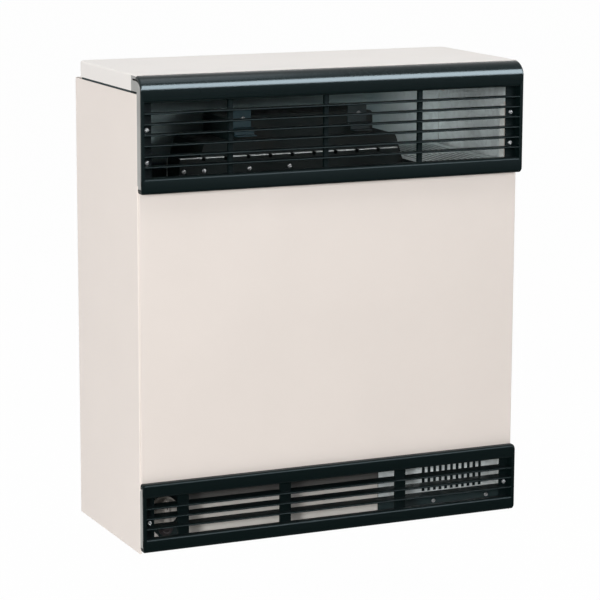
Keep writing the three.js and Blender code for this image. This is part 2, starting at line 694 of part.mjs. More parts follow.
// An end cap fills the end of a grille, whose moulding wraps over its front and lower edges.
// The upper one has a lug that reaches back over the side panel, under the cover.
function capBlock(side, corners) {
  const [from, to] = side > 0 ? [HALF - CAP, HALF] : [-HALF, -HALF + CAP];
  return prism(outline(corners), 'x', from, to);
}

function upperCap(side) {
  const front = UPPER_FACE + MOULDING_WALL + CAP_GAP;
  const crown = UPPER_CROWN - MOULDING_WALL - CAP_GAP;
  const bottom = UPPER_BOTTOM + MOULDING_WALL + CAP_GAP;
  const lugFront = FACE + LUG_STEP;
  const lugBack = FACE + LUG_REACH;
  return capBlock(side, [
    [BAND_BACK, bottom],
    [front, bottom, 1],
    [front, crown, NOSE_RADIUS - MOULDING_WALL - CAP_GAP],
    [lugFront, crown],
    [lugFront, UPPER_CROWN],
    [lugBack, UPPER_CROWN, 1],
    [lugBack, SIDE_TOP + COVER_GAP],
    [GRILLE_BACK, SIDE_TOP + COVER_GAP],
    [GRILLE_BACK, PANEL_TOP + SEAT],
    [BAND_BACK, PANEL_TOP + SEAT],
  ]);
}

function lowerCap(side) {
  const front = LOWER_FACE + MOULDING_WALL + CAP_GAP;
  const bottom = LOWER_BOTTOM + MOULDING_WALL + CAP_GAP;
  const top = LOWER_TOP - MOULDING_WALL - CAP_GAP;
  return capBlock(side, [
    [GRILLE_BACK, bottom],
    [front, bottom, 1],
    [front, top, 1],
    [BAND_BACK, top],
    [BAND_BACK, PANEL_BOTTOM - SEAT],
    [GRILLE_BACK, PANEL_BOTTOM - SEAT],
  ]);
}

// A pan-head screw that points into the wall, with its head's seat at its own origin.
function screw(length = SCREW_LENGTH) {
  return turned([
    [0, -SCREW_DOME],
    [SCREW_HEAD * 0.55, -SCREW_DOME * 0.92],
    [SCREW_HEAD * 0.9, -SCREW_DOME * 0.55],
    [SCREW_HEAD, -SCREW_DOME * 0.1],
    [SCREW_HEAD, 0],
    [SCREW_SHANK, 0],
    [SCREW_SHANK, length - 1],
    [0, length],
  ], 10);
}

function grilleScrews() {
  const x = HALF - SCREW_INSET;
  const y = FLANGE_FRONT - SEAT;
  const sides = [['left', -x], ['right', x]];
  const screwIn = (name, at, z) => placed(mesh(name, screw(), STEEL), at, y, z);
  return sides.flatMap(([side, at]) => [
    screwIn(`upper_grille_screw_${side}_low`, at, UPPER_SCREW_LEVELS[0]),
    screwIn(`upper_grille_screw_${side}_high`, at, UPPER_SCREW_LEVELS[1]),
    screwIn(`lower_grille_screw_${side}`, at, LOWER_SCREW_LEVEL),
  ]);
}

// ---------------------------------------------------------------- back and inner sheets

function keyhole(x, z) {
  const depth = [-PLATE - 1, 1];
  return join(
    rod('y', x, z, KEYHOLE_HEAD, ...depth, 12),
    rod('y', x, z + KEYHOLE_RISE, KEYHOLE_SLOT, ...depth, 12),
    block([x - KEYHOLE_SLOT, x + KEYHOLE_SLOT], depth, [z, z + KEYHOLE_RISE]),
  );
}

// The plate that is screwed to the wall, with a lip along its top and bottom.
function backPlate() {
  const edge = HALF - BACK_INSET;
  const section = sheet([
    [-BACK_LIP, BACK_BOTTOM + PLATE / 2],
    [-PLATE / 2, BACK_BOTTOM + PLATE / 2, 2],
    [-PLATE / 2, BACK_TOP - PLATE / 2, 2],
    [-BACK_LIP, BACK_TOP - PLATE / 2],
  ], PLATE);
  const lipEnd = HALF - REAR_FLANGE - SEAT;
  const ends = [[-HALF, -lipEnd], [lipEnd, HALF]];
  const levels = [BACK_BOTTOM + KEYHOLE_MARGIN, BACK_TOP - KEYHOLE_MARGIN];
  return cut(
    prism(section, 'x', -edge, edge),
    ends.map((x) => block(x, [-BACK_LIP - 1, -PLATE - 0.02], [0, HEIGHT])),
    levels.flatMap((z) => [keyhole(-KEYHOLE_X, z), keyhole(KEYHOLE_X, z)]),
    rod('y', FLUE_X, FLUE_Z, AIR_RADIUS + SEAT, -PLATE - 1, 1, 24),
  );
}

// The rear shield stands off the back plate on its own top and bottom flanges.
function rearShield() {
  const line = SHIELD_FACE + THIN_SHEET / 2;
  const foot = -PLATE - SEAT;
  const [bottom, top] = [BACK_BOTTOM + SHIELD_MARGIN, BACK_TOP - SHIELD_MARGIN];
  const section = sheet([[foot, bottom], [line, bottom], [line, top], [foot, top]], THIN_SHEET);
  const edge = SIDE_INNER - SEAT - THIN_SHEET - SEAT;
  const flangeEnd = HALF - REAR_FLANGE - SEAT;
  const ends = [[-HALF, -flangeEnd], [flangeEnd, HALF]];
  return cut(
    prism(section, 'x', -edge, edge),
    ends.map((x) => block(x, [SHIELD_FACE + THIN_SHEET + 0.02, 0], [0, HEIGHT])),
    rod('y', FLUE_X, FLUE_Z, AIR_RADIUS + SEAT, SHIELD_FACE - 1, 0, 24),
  );
}

function sideLiner(side) {
  const line = SIDE_INNER - SEAT - THIN_SHEET / 2;
  const front = FACE + LINER_SETBACK;
  const section = sheet([
    [side * line, ON_SHIELD],
    [side * line, front, 1.2],
    [side * (line - LINER_FLANGE), front],
  ], THIN_SHEET);
  return prism(section, 'z', LINER_BOTTOM, HEIGHT - LINER_TOP_GAP);
}

// ---------------------------------------------------------------- heat exchanger

function chamberOutline(inset) {
  const shoulder = CHAMBER_TOP - CHAMBER_SHOULDER_HEIGHT;
  const [left, right] = [CHAMBER_LEFT + inset, CHAMBER_RIGHT - inset];
  return outline([
    [left, CHAMBER_BOTTOM + inset, 4],
    [right, CHAMBER_BOTTOM + inset, 4],
    [right, shoulder, 16],
    [right - CHAMBER_SHOULDER, CHAMBER_TOP - inset, 8],
    [left + CHAMBER_SHOULDER, CHAMBER_TOP - inset, 8],
    [left, shoulder, 16],
  ]);
}

function combustionChamber() {
  const back = -CHAMBER_REAR;
  const boxWay = [[BOX_LEFT + 6, BOX_RIGHT - 6], [BOX_FACE + 6, BOX_BACK - 6]];
  const [end, rim] = HOOD_WAY_INSET;
  const hoodWay = [
    [HOOD_LEFT + end, HOOD_RIGHT - end],
    [CHAMBER_FACE + HOOD_INSET + rim, back - HOOD_INSET - rim],
  ];
  return cut(
    prism(chamberOutline(0), 'y', CHAMBER_FACE, back),
    prism(chamberOutline(PLATE), 'y', CHAMBER_FACE + PLATE, back - PLATE),
    block(...boxWay, [CHAMBER_BOTTOM - 1, CHAMBER_BOTTOM + PLATE + 1]),
    block(...hoodWay, [CHAMBER_TOP - PLATE - 1, CHAMBER_TOP + 1]),
    rod('y', FLUE_X, FLUE_Z, FLUE_RADIUS - DUCT_WALL, back - PLATE - 1, back + 1, 20),
  );
}

function hood() {
  const bottom = CHAMBER_TOP + SEAT;
  const top = bottom + HOOD_HEIGHT;
  const [front, back] = [CHAMBER_FACE + HOOD_INSET, -CHAMBER_REAR - HOOD_INSET];
  const section = (inset, foot) => outline([
    [HOOD_LEFT + inset, foot],
    [HOOD_RIGHT - inset, foot],
    [HOOD_RIGHT - inset, top - inset, 6],
    [HOOD_LEFT + inset, top - inset, 6],
  ]);
  return cut(
    prism(section(0, bottom), 'y', front, back),
    prism(section(PLATE, bottom - 1), 'y', front + PLATE, back - PLATE),
  );
}

// A small bracket on the hood's face: a ledge, a step down and a foot as deep as the ledge.
function hoodBracket(x) {
  const [width, height, ledge] = HOOD_BRACKET;
  const line = CHAMBER_FACE + HOOD_INSET - SEAT - PLATE / 2;
  const top = CHAMBER_TOP + HOOD_HEIGHT + HOOD_BRACKET_RISE;
  const foot = top - height - HOOD_BRACKET_STEP;
  const section = sheet([
    [line, top],
    [line, top - height],
    [line - ledge, top - height],
    [line - ledge, foot],
    [line - 2 * ledge, foot],
  ], PLATE);
  const hole = rod('y', x + HOOD_SCREW, top - height / 2, SCREW_HOLE, line - PLATE, line + PLATE, 12);
  return cut(prism(section, 'x', x - width / 2, x + width / 2), hole);
}

function hoodBracketParts() {
  const y = CHAMBER_FACE + HOOD_INSET - SEAT - PLATE - SEAT;
  const z = CHAMBER_TOP + HOOD_HEIGHT + HOOD_BRACKET_RISE - HOOD_BRACKET[1] / 2;
  return HOOD_BRACKETS.flatMap((x, i) => {
    const side = ['left', 'right'][i];
    return [
      mesh(`hood_bracket_${side}`, hoodBracket(x), BRACKET_TEAL),
      placed(mesh(`hood_bracket_screw_${side}`, screw(PLATE), STEEL), x + HOOD_SCREW, y, z),
    ];
  });
}

// The front shield hangs before the chamber from a notched flange along its top.
function frontShield() {
  const line = CHAMBER_FACE - SHIELD_AHEAD;
  const top = CHAMBER_TOP - SHIELD_RISE - THIN_SHEET / 2;
  const bottom = ACCESS_TOP + SHIELD_CLEAR;
  const section = sheet([[CHAMBER_FACE - SEAT, top], [line, top, 1.2], [line, bottom]], THIN_SHEET);
  const pitch = (SHIELD_RIGHT - SHIELD_LEFT) / (SHIELD_NOTCHES + 1);
  const notches = Array.from({ length: SHIELD_NOTCHES }, (_, i) => {
    const x = SHIELD_LEFT + (i + 1) * pitch;
    return block([x, x + SHIELD_NOTCH], [line - 1, line + 5], [top - 4, top + 1]);
  });
  return cut(prism(section, 'x', SHIELD_LEFT, SHIELD_RIGHT), notches);
}

// A Z-section between the rear shield and the chamber's back.
function exchangerSupport(side) {
  const end = side > 0 ? CHAMBER_RIGHT - SUPPORT_INSET : CHAMBER_LEFT + SUPPORT_INSET;
  const rear = ON_SHIELD - PLATE / 2;
  const front = -CHAMBER_REAR + SEAT + PLATE / 2;
  const section = sheet([
    [end, rear],
    [end - side * SUPPORT_STEP, rear],
    [end - side * SUPPORT_STEP, front],
    [end - side * SUPPORT_STEP * 2, front],
  ], PLATE);
  return prism(section, 'z', CHAMBER_BOTTOM + SUPPORT_MARGIN, CHAMBER_TOP - SUPPORT_MARGIN);
}

// ---------------------------------------------------------------- flue

// A trunk behind the chamber that leads fresh air from the wall down to the burner box.
function airBox() {
  const back = ON_SHIELD;
  const front = back - AIR_BOX_DEPTH;
  const foot = BOX_BACK + SEAT;
  const low = BOX_BOTTOM + AIR_FOOT_RISE;
  const top = FLUE_Z + AIR_RADIUS + AIR_BOX_MARGIN;
  const left = FLUE_X - AIR_RADIUS - AIR_BOX_MARGIN;
  const right = FLUE_X + AIR_RADIUS + AIR_BOX_MARGIN;
  const section = (inset) => outline([
    [back - inset, low + inset],
    [back - inset, top - inset],
    [front + inset, top - inset],
    [front + inset, AIR_FOOT_TOP - inset],
    [foot + inset, AIR_FOOT_TOP - inset],
    [foot + inset, low + inset],
  ]);
  return cut(
    prism(section(0), 'x', left, right),
    prism(section(DUCT_WALL), 'x', left + DUCT_WALL, right - DUCT_WALL),
    rod('y', FLUE_X, FLUE_Z, AIR_RADIUS - DUCT_WALL, back - DUCT_WALL - 1, back + 1, 24),
    rod('y', FLUE_X, FLUE_Z, FLUE_RADIUS + SEAT, front - 1, front + DUCT_WALL + 1, 20),
    airPort(foot),
  );
}

function airPort(y) {
  return block([FLUE_X - AIR_PORT, FLUE_X + AIR_PORT], [y - 3, y + 3], [BURNER_Z - 20, BURNER_Z + 20]);
}

function airDuct() {
  return ring('y', FLUE_X, FLUE_Z, AIR_RADIUS, AIR_RADIUS - DUCT_WALL, ON_SHIELD + SEAT, 0, 24);
}

// The exhaust duct, with a flange that a gasket seals to the chamber.
function flueDuct() {
  const flangeFront = -CHAMBER_REAR + SEAT + PLATE + SEAT;
  const bore = FLUE_RADIUS - DUCT_WALL;
  return join(
    ring('y', FLUE_X, FLUE_Z, FLUE_RADIUS, bore, flangeFront, 0, 20),
    ring('y', FLUE_X, FLUE_Z, FLUE_RADIUS + DUCT_FLANGE, bore, flangeFront, flangeFront + PLATE, 20),
  );
}

function flueGasket() {
  const from = -CHAMBER_REAR + SEAT;
  return ring('y', FLUE_X, FLUE_Z, FLUE_RADIUS + DUCT_FLANGE, FLUE_RADIUS, from, from + PLATE, 20);
}

// ---------------------------------------------------------------- burner

function burnerBox() {
  const wall = DUCT_WALL;
  const top = CHAMBER_BOTTOM - SEAT;
  const below = [BOX_BOTTOM - 1, BOX_BOTTOM + wall + 1];
  const inside = [[BOX_LEFT + wall, BOX_RIGHT - wall], [BOX_FACE + wall, BOX_BACK - wall]];
  return cut(
    block([BOX_LEFT, BOX_RIGHT], [BOX_FACE, BOX_BACK], [BOX_BOTTOM, top]),
    block(...inside, [BOX_BOTTOM + wall, top + 1]),
    rod('y', SIGHT_X, BURNER_Z, SIGHT_RADIUS - 2, BOX_FACE - 1, BOX_FACE + wall + 1),
    rod('x', BURNER_Y, BURNER_Z, INJECTOR_RADIUS + SEAT, BOX_LEFT - 1, BOX_LEFT + wall + 1),
    rod('z', PILOT_X, PILOT_Y, PILOT_TUBE + LOOSE, ...below, 12),
    rod('z', ELECTRODE_X, PILOT_Y, INSULATOR + LOOSE, ...below, 12),
    rod('z', THERMOCOUPLE_X, PILOT_Y, THERMOCOUPLE + LOOSE, ...below, 12),
    airPort(BOX_BACK),
  );
}

// A welded tube on two feet, open to the injector at its left end, with ports along its top.
function burnerTube() {
  const [from, to] = [BOX_LEFT + 17, BOX_RIGHT - 9];
  const floor = BOX_BOTTOM + DUCT_WALL + SEAT;
  const feet = [from + 30, to - 30].map((x) =>
    block([x - 1, x + 1], [BURNER_Y - 10, BURNER_Y + 10], [floor, BURNER_Z - BURNER_RADIUS + 2]));
  const pitch = (to - from) / (BURNER_PORTS + 1);
  const ports = Array.from({ length: BURNER_PORTS }, (_, i) => {
    const x = from + (i + 1) * pitch;
    return block([x - 2, x + 2], [BURNER_Y - 7, BURNER_Y + 7], [BURNER_Z + 5, BURNER_Z + BURNER_RADIUS + 1]);
  });
  return cut(
    join(rod('x', BURNER_Y, BURNER_Z, BURNER_RADIUS, from, to), feet),
    rod('x', BURNER_Y, BURNER_Z, BURNER_RADIUS - PLATE, from - 1, to - PLATE),
    ports,
  );
}

function injector() {
  const wallFace = BOX_LEFT - SEAT;
  return join(
    rod('x', BURNER_Y, BURNER_Z, INJECTOR_HEX, wallFace - INJECTOR_LENGTH, wallFace, 6),
    rod('x', BURNER_Y, BURNER_Z, INJECTOR_RADIUS, wallFace - 1, BOX_LEFT + 14, 12),
  );
}

// The pilot's tube carries a plate that holds the electrode and the thermocouple beside it.
function pilotBurner() {
  const plate = block([THERMOCOUPLE_X - 7, ELECTRODE_X + 8], [PILOT_Y - 7, PILOT_Y + 7],
    [PILOT_PLATE_Z, PILOT_PLATE_Z + PLATE]);
  const through = [PILOT_PLATE_Z - 1, PILOT_PLATE_Z + PLATE + 1];
  return join(
    cut(
      plate,
      rod('z', ELECTRODE_X, PILOT_Y, INSULATOR + LOOSE, ...through, 12),
      rod('z', THERMOCOUPLE_X, PILOT_Y, THERMOCOUPLE + LOOSE, ...through, 12),
    ),
    rod('z', PILOT_X, PILOT_Y, PILOT_TUBE, BOX_BOTTOM - 4, PILOT_PLATE_Z + 8, 12),
    block([PILOT_X - 4, PILOT_X + 6], [PILOT_Y - 4, PILOT_Y + 4], [PILOT_PLATE_Z + 7, PILOT_PLATE_Z + 9]),
  );
}

function sparkElectrode() {
  return join(
    rod('z', ELECTRODE_X, PILOT_Y, INSULATOR, BOX_BOTTOM - 8, PILOT_PLATE_Z + 8, 12),
    rod('z', ELECTRODE_X, PILOT_Y, 1, BOX_BOTTOM - 14, PILOT_PLATE_Z + 18, 8),
  );
}

// The thermocouple's tip and its lead to the valve's magnet unit, as one piece.
function thermocouple() {
  const lead = pipe([
    [THERMOCOUPLE_X, PILOT_Y, BOX_BOTTOM - 4],
    [THERMOCOUPLE_X, PILOT_Y, BOX_BOTTOM - 16],
    [THERMOCOUPLE_X - 14, PILOT_Y + 4, BOX_BOTTOM - 26],
    [BRACKET_RIGHT + 25, LEADS_Y - 10, LEADS_Z + 2],
    [BRACKET_RIGHT, LEADS_Y, LEADS_Z + 3],
    [BRACKET_RIGHT - 14, LEADS_Y + 4, LEADS_Z + 8],
    [MAGNET_X, VALVE_REAR + MAGNET_UNIT[1] + 12, KNOB_Z],
    [MAGNET_X, VALVE_REAR + MAGNET_UNIT[1] + SEAT, KNOB_Z],
  ], THERMOCOUPLE_LEAD, 32, 6);
  const tip = PILOT_PLATE_Z + 14;
  return join(rod('z', THERMOCOUPLE_X, PILOT_Y, THERMOCOUPLE, BOX_BOTTOM - 6, tip, 12), lead);
}

function sightFrame() {
  const from = BOX_FACE - SEAT - 5;
  return cut(
    ring('y', SIGHT_X, BURNER_Z, SIGHT_RADIUS + 4, SIGHT_RADIUS - 2, from, BOX_FACE - SEAT, 24),
    rod('y', SIGHT_X, BURNER_Z, SIGHT_RADIUS + SEAT, from + 2, BOX_FACE, 24),
  );
}

function sightGlass() {
  return rod('y', SIGHT_X, BURNER_Z, SIGHT_RADIUS, BOX_FACE - SEAT - 2.7, BOX_FACE - SEAT, 24);
}

// ---------------------------------------------------------------- controls

// A plate across the lower left corner with a wing that runs back to the rear shield.
function controlBracket() {
  const left = -HALF + BRACKET_INSET;
  const section = sheet([
    [left, BRACKET_Y + 15],
    [left, BRACKET_Y, 2],
    [BRACKET_RIGHT, BRACKET_Y, 2],
    [BRACKET_RIGHT, ON_SHIELD],
  ], PLATE);
  const plate = [BRACKET_Y - 3, BRACKET_Y + 3];
  const wing = [BRACKET_RIGHT - 3, BRACKET_RIGHT + 3];
  return cut(
    prism(section, 'z', BRACKET_BOTTOM, BRACKET_TOP),
    rod('y', KNOB_X, KNOB_Z, SLEEVE_RADIUS + RUNNING, ...plate),
    rod('y', BUTTON_X, BUTTON_Z, PIEZO_RADIUS + SEAT, ...plate),
    rod('x', OUTLET_Y, KNOB_Z, PIPE_RADIUS + 2, ...wing),
    rod('x', PILOT_PORT_Y, LOW_PORTS, PILOT_PIPE + 2, ...wing, 12),
    rod('x', LEADS_Y, LEADS_Z, 8, ...wing, 12),
    rod('x', PHIAL[2] - 10, PHIAL[3] + 4, CAPILLARY + 3, ...wing, 12),
  );
}

// The valve's cast block, with a boss round its spindle, a magnet unit and its ports.
function gasValve() {
  const [width, height] = VALVE;
  const [left, bottom, top] = [KNOB_X - width / 2, KNOB_Z - height / 2, KNOB_Z + height / 2];
  const body = outline([
    [left, bottom, 4],
    [VALVE_RIGHT, bottom, 4],
    [VALVE_RIGHT, top, 8],
    [left, top, 8],
  ]);
  return cut(
    join(
      prism(body, 'y', VALVE_FRONT, VALVE_REAR),
      rod('y', KNOB_X, KNOB_Z, VALVE_BOSS[0], BRACKET_BACK + SEAT, VALVE_FRONT + 1, 20),
      port('y', MAGNET_X, KNOB_Z, MAGNET_UNIT, VALVE_REAR),
      port('y', INLET_X, LOW_PORTS, INLET_PORT, VALVE_REAR),
      port('x', OUTLET_Y, KNOB_Z, OUTLET_PORT, VALVE_RIGHT),
      port('x', PILOT_PORT_Y, LOW_PORTS, PILOT_PORT, VALVE_RIGHT),
    ),
    rod('y', KNOB_X, KNOB_Z, SLEEVE_RADIUS + RUNNING, BRACKET_BACK, sleeveEnds()[1] + KNOB_TRAVEL + 1),
  );
}

function port(axis, u, v, [radius, length], face) {
  return rod(axis, u, v, radius, face - 1, face + length, 12);
}

// The sleeve's front and rear ends, at rest.
function sleeveEnds() {
  const front = BRACKET_FRONT - KNOB_STANDOFF + 1.5;
  return [front, front + SLEEVE_LENGTH];
}

// The sleeve slides in the valve with the spindle, which turns inside it.
function spindleSleeve() {
  const [front, rear] = sleeveEnds();
  const bore = SPINDLE_RADIUS + RUNNING;
  return cut(
    rod('y', KNOB_X, KNOB_Z, SLEEVE_RADIUS, front, rear),
    rod('y', KNOB_X, KNOB_Z, bore, front - 1, rear - 2),
  );
}

function valveSpindle() {
  const [, rear] = sleeveEnds();
  const tip = BRACKET_FRONT - KNOB_STANDOFF - KNOB_HEIGHT / 2;
  return rod('y', KNOB_X, KNOB_Z, SPINDLE_RADIUS, tip, rear - 2 - RUNNING);
}

// The knob: a hollow skirted cap with a hub for the spindle and a grip bar across its face.
// It is drawn about its own axis, with its back at the origin and its face towards -Y.
function controlKnob() {
  const face = -KNOB_HEIGHT;
  const cap = turned([
    [0, face + 3],
    [KNOB_RADIUS - 5, face + 3],
    [KNOB_RADIUS - 3, face + 5],
    [KNOB_RADIUS - 2, -5],
    [KNOB_RADIUS, -3.5],
    [KNOB_RADIUS, 0],
    [KNOB_RADIUS - 4, 0],
    [KNOB_RADIUS - 5, face + 7],
    [7, face + 7],
    [6.5, -1],
    [0, -1],
  ], 24);
  const grip = outline([
    [-3.5, -KNOB_RADIUS + 4, 2],
    [3.5, -KNOB_RADIUS + 4, 2],
    [3.5, KNOB_RADIUS - 4, 2],
    [-3.5, KNOB_RADIUS - 4, 2],
  ]);
  return cut(
    join(cap, prism(grip, 'y', face, face + 5)),
    rod('y', 0, 0, SPINDLE_RADIUS + SEAT, -KNOB_HEIGHT / 2 - SEAT, 1),
  );
}

function piezoBody() {
  const rim = BRACKET_FRONT - SEAT;
  return cut(
    join(
      rod('y', BUTTON_X, BUTTON_Z, PIEZO_RADIUS + PIEZO_RIM, rim - PIEZO_RIM, rim, 20),
      rod('y', BUTTON_X, BUTTON_Z, PIEZO_RADIUS, rim - 1, rim + PIEZO_LENGTH, 20),
      port('y', BUTTON_X, BUTTON_Z, [3, PIEZO_STUD], rim + PIEZO_LENGTH),
    ),
    rod('y', BUTTON_X, BUTTON_Z, BUTTON_RADIUS + RUNNING, rim - 4, buttonRear() + BUTTON_TRAVEL + 1),
  );
}

function buttonRear() {
  return BRACKET_FRONT - BUTTON_PROUD + BUTTON_LENGTH;
}

// The push button, drawn about its own axis with its face at the origin.
function piezoButton() {
  return turned([
    [0, 0],
    [BUTTON_RADIUS - 1.2, 0],
    [BUTTON_RADIUS, 1.2],
    [BUTTON_RADIUS, BUTTON_LENGTH],
    [0, BUTTON_LENGTH],
  ], 20);
}

function inletFitting() {
  const [low, high] = [SEAT, INLET_LENGTH];
  return cut(
    join(
      rod('z', INLET_X, INLET_Y, INLET_RADIUS, low, high, 16),
      rod('z', INLET_X, INLET_Y, INLET_HEX, low + 4, low + INLET_SHOULDER, 6),
    ),
    rod('z', INLET_X, INLET_Y, PIPE_RADIUS + SEAT, low - 1, high + 1, 16),
  );
}

function inletSupport() {
  const shelf = SEAT + INLET_SHOULDER + SEAT + PLATE / 2;
  const section = sheet([
    [INLET_Y - 16, shelf],
    [ON_SHIELD - PLATE / 2, shelf],
    [ON_SHIELD - PLATE / 2, shelf + 46],
  ], PLATE);
  return cut(
    prism(section, 'x', INLET_X - 16, INLET_X + 16),
    rod('z', INLET_X, INLET_Y, INLET_RADIUS + SEAT, shelf - 2, shelf + 2, 16),
  );
}

function inletPipe() {
  const high = LOW_PORTS;
  return pipe([
    [INLET_X, INLET_Y, 12],
    [INLET_X, INLET_Y, 18],
    [INLET_X, INLET_Y, 25],
    [INLET_X, INLET_Y - 4, high - 4],
    [INLET_X, INLET_Y - 16, high],
    [INLET_X, (INLET_Y + VALVE_REAR) / 2, high],
    [INLET_X, VALVE_REAR + INLET_PORT[1] + SEAT, high],
  ], PIPE_RADIUS, 18, 8);
}

function burnerFeedPipe() {
  const endX = BOX_LEFT - SEAT - INJECTOR_LENGTH - SEAT;
  return pipe([
    [VALVE_RIGHT + OUTLET_PORT[1] + SEAT, OUTLET_Y, KNOB_Z],
    [BRACKET_RIGHT, OUTLET_Y, KNOB_Z],
    [BRACKET_RIGHT + 22, OUTLET_Y + 4, KNOB_Z + 6],
    [endX - 24, BURNER_Y - 12, BURNER_Z - 14],
    [endX - 12, BURNER_Y, BURNER_Z],
    [endX, BURNER_Y, BURNER_Z],
  ], PIPE_RADIUS, 22, 8);
}

function pilotTube() {
  return pipe([
    [VALVE_RIGHT + PILOT_PORT[1] + SEAT, PILOT_PORT_Y, LOW_PORTS],
    [BRACKET_RIGHT, PILOT_PORT_Y, LOW_PORTS],
    [BRACKET_RIGHT + 30, PILOT_PORT_Y + 2, LOW_PORTS - 2],
    [PILOT_X - 22, PILOT_Y - 8, BOX_BOTTOM - 22],
    [PILOT_X - 3, PILOT_Y, BOX_BOTTOM - 17],
    [PILOT_X, PILOT_Y, BOX_BOTTOM - 10],
    [PILOT_X, PILOT_Y, BOX_BOTTOM - 4 - SEAT],
  ], PILOT_PIPE, 28, 6);
}

function ignitionLead() {
  const start = BRACKET_FRONT + PIEZO_LENGTH + PIEZO_STUD;
  return pipe([
    [BUTTON_X, start, BUTTON_Z],
    [BUTTON_X, start + 16, BUTTON_Z],
    [BUTTON_X + 12, start + 30, BUTTON_Z + 2],
    [BRACKET_RIGHT, LEADS_Y, LEADS_Z - 4],
    [BRACKET_RIGHT + 30, LEADS_Y - 8, LEADS_Z - 5],
    [ELECTRODE_X - 24, PILOT_Y + 4, LEADS_Z - 4],
    [ELECTRODE_X - 3, PILOT_Y, BOX_BOTTOM - 28],
    [ELECTRODE_X, PILOT_Y, BOX_BOTTOM - 20],
    [ELECTRODE_X, PILOT_Y, BOX_BOTTOM - 14 - SEAT],
  ], LEAD, 21, 6);
}

// The phial that senses the room air, with its capillary to the valve.
function thermostatPhial() {
  const [left, right, y, z] = PHIAL;
  const capillary = pipe([
    [left + 1, y, z],
    [left - 8, y, z],
    [BRACKET_RIGHT + 6, y - 8, z + 4],
    [BRACKET_RIGHT - 6, y - 12, z + 4],
    [KNOB_X + 14, y - 40, z + 8],
    [KNOB_X - 14, VALVE_REAR + 30, z + 6],
    [KNOB_X - 14, VALVE_REAR + SEAT, z + 6],
  ], CAPILLARY, 30, 6);
  return join(rod('x', y, z, PHIAL_RADIUS, left, right, 16), capillary);
}

// A clip from the rear shield that closes round the phial.
function phialClip() {
  const [left, right, y, z] = PHIAL;
  const middle = (left + right) / 2;
  const reach = y - PHIAL_RADIUS - 3;
  const plate = block([middle - 6, middle + 6], [reach, ON_SHIELD], [z - 9, z + 9]);
  return cut(plate, rod('x', y, z, PHIAL_RADIUS + SEAT, middle - 7, middle + 7, 16));
}

// ---------------------------------------------------------------- guard and access cover

function slots(xs, yRange, zRange) {
  return xs.map((x) => block([x, x + GUARD_SLOT], yRange, zRange));
}

// The guard: a slotted plate behind the lower grille that rises behind the front panel and
// bends back as a slotted shelf beside the chamber.
function slottedGuard() {
  const shelf = CHAMBER_TOP - SHELF_DROP;
  const right = HALF - GUARD_SIDE;
  const line = FRONT_PLATES;
  const section = sheet([[ON_SHIELD, shelf], [line, shelf, 2], [line, GUARD_BOTTOM]], THIN_SHEET);
  const lower = Array.from({ length: GUARD_SLOTS }, (_, i) => GUARD_SLOT_LEFT + i * GUARD_PITCH);
  const shelfCount = Math.floor((right - SHELF_SLOTS_LEFT - SHELF_END) / GUARD_PITCH) + 1;
  const upper = Array.from({ length: shelfCount }, (_, i) => SHELF_SLOTS_LEFT + i * GUARD_PITCH);
  const middle = (line + ON_SHIELD) / 2;
  const level = [shelf - 2, shelf + 2];
  return cut(
    prism(section, 'x', GUARD_LEFT, right),
    block([GUARD_LEFT - 1, SHELF_LEFT], [line + 6, 0], [GUARD_BOTTOM, HEIGHT]),
    slots(lower, [line - 2, line + 2], GUARD_SLOT_HEIGHT),
    slots(upper, [line + SHELF_MARGINS[0], middle - SHELF_RIB / 2], level),
    slots(upper, [middle + SHELF_RIB / 2, ON_SHIELD - SHELF_MARGINS[1]], level),
  );
}

// The plain cover in front of the burner box, from the control bracket to the box's face.
function accessCover() {
  const left = BRACKET_RIGHT - ACCESS_LAP;
  const section = sheet([
    [left, BRACKET_FRONT - SEAT],
    [left, FRONT_PLATES, 1.2],
    [ACCESS_RIGHT, FRONT_PLATES, 1.2],
    [ACCESS_RIGHT, BOX_FACE - SEAT],
  ], THIN_SHEET);
  return cut(
    prism(section, 'z', ACCESS_BOTTOM, ACCESS_TOP),
    rod('y', SIGHT_X, BURNER_Z, SIGHT_RADIUS + 1, FRONT_PLATES - 2, FRONT_PLATES + 2, 24),
  );
}

// ---------------------------------------------------------------- assembly

function casing() {
  return group(
    mesh('back_plate', backPlate(), GALVANISED),
    mesh('rear_shield', rearShield(), GALVANISED),
    mesh('side_panel_left', sidePanel(-1), CREAM),
    mesh('side_panel_right', sidePanel(1), CREAM),
    mesh('side_liner_left', sideLiner(-1), GALVANISED),
    mesh('side_liner_right', sideLiner(1), GALVANISED),
    mesh('cover_support_left', coverSupport(-1), GALVANISED),
    mesh('cover_support_right', coverSupport(1), GALVANISED),
    mesh('front_panel', frontPanel(), CREAM),
    mesh('top_cover', topCover(), CREAM),
  );
}

function grilles() {
  return group(
    mesh('upper_grille', upperGrille(), BLACK_GLOSS),
    mesh('lower_grille', lowerGrille(), BLACK_GLOSS),
    mesh('upper_cap_left', upperCap(-1), CAP_GREY),
    mesh('upper_cap_right', upperCap(1), CAP_GREY),
    mesh('lower_cap_left', lowerCap(-1), CAP_GREY),
    mesh('lower_cap_right', lowerCap(1), CAP_GREY),
    grilleScrews(),
  );
}

function heatExchanger() {
  return group(
    mesh('combustion_chamber', combustionChamber(), STOVE_BLACK),
    mesh('exchanger_hood', hood(), STOVE_BLACK),
    hoodBracketParts(),
    mesh('front_shield', frontShield(), STOVE_BLACK),
    mesh('exchanger_support_left', exchangerSupport(-1), GALVANISED),
    mesh('exchanger_support_right', exchangerSupport(1), GALVANISED),
    mesh('air_box', airBox(), GALVANISED),
    mesh('air_duct', airDuct(), ALUMINIUM),
    mesh('flue_duct', flueDuct(), ALUMINIUM),
    mesh('flue_gasket', flueGasket(), GASKET_WHITE),
    mesh('slotted_guard', slottedGuard(), GALVANISED),
  );
}

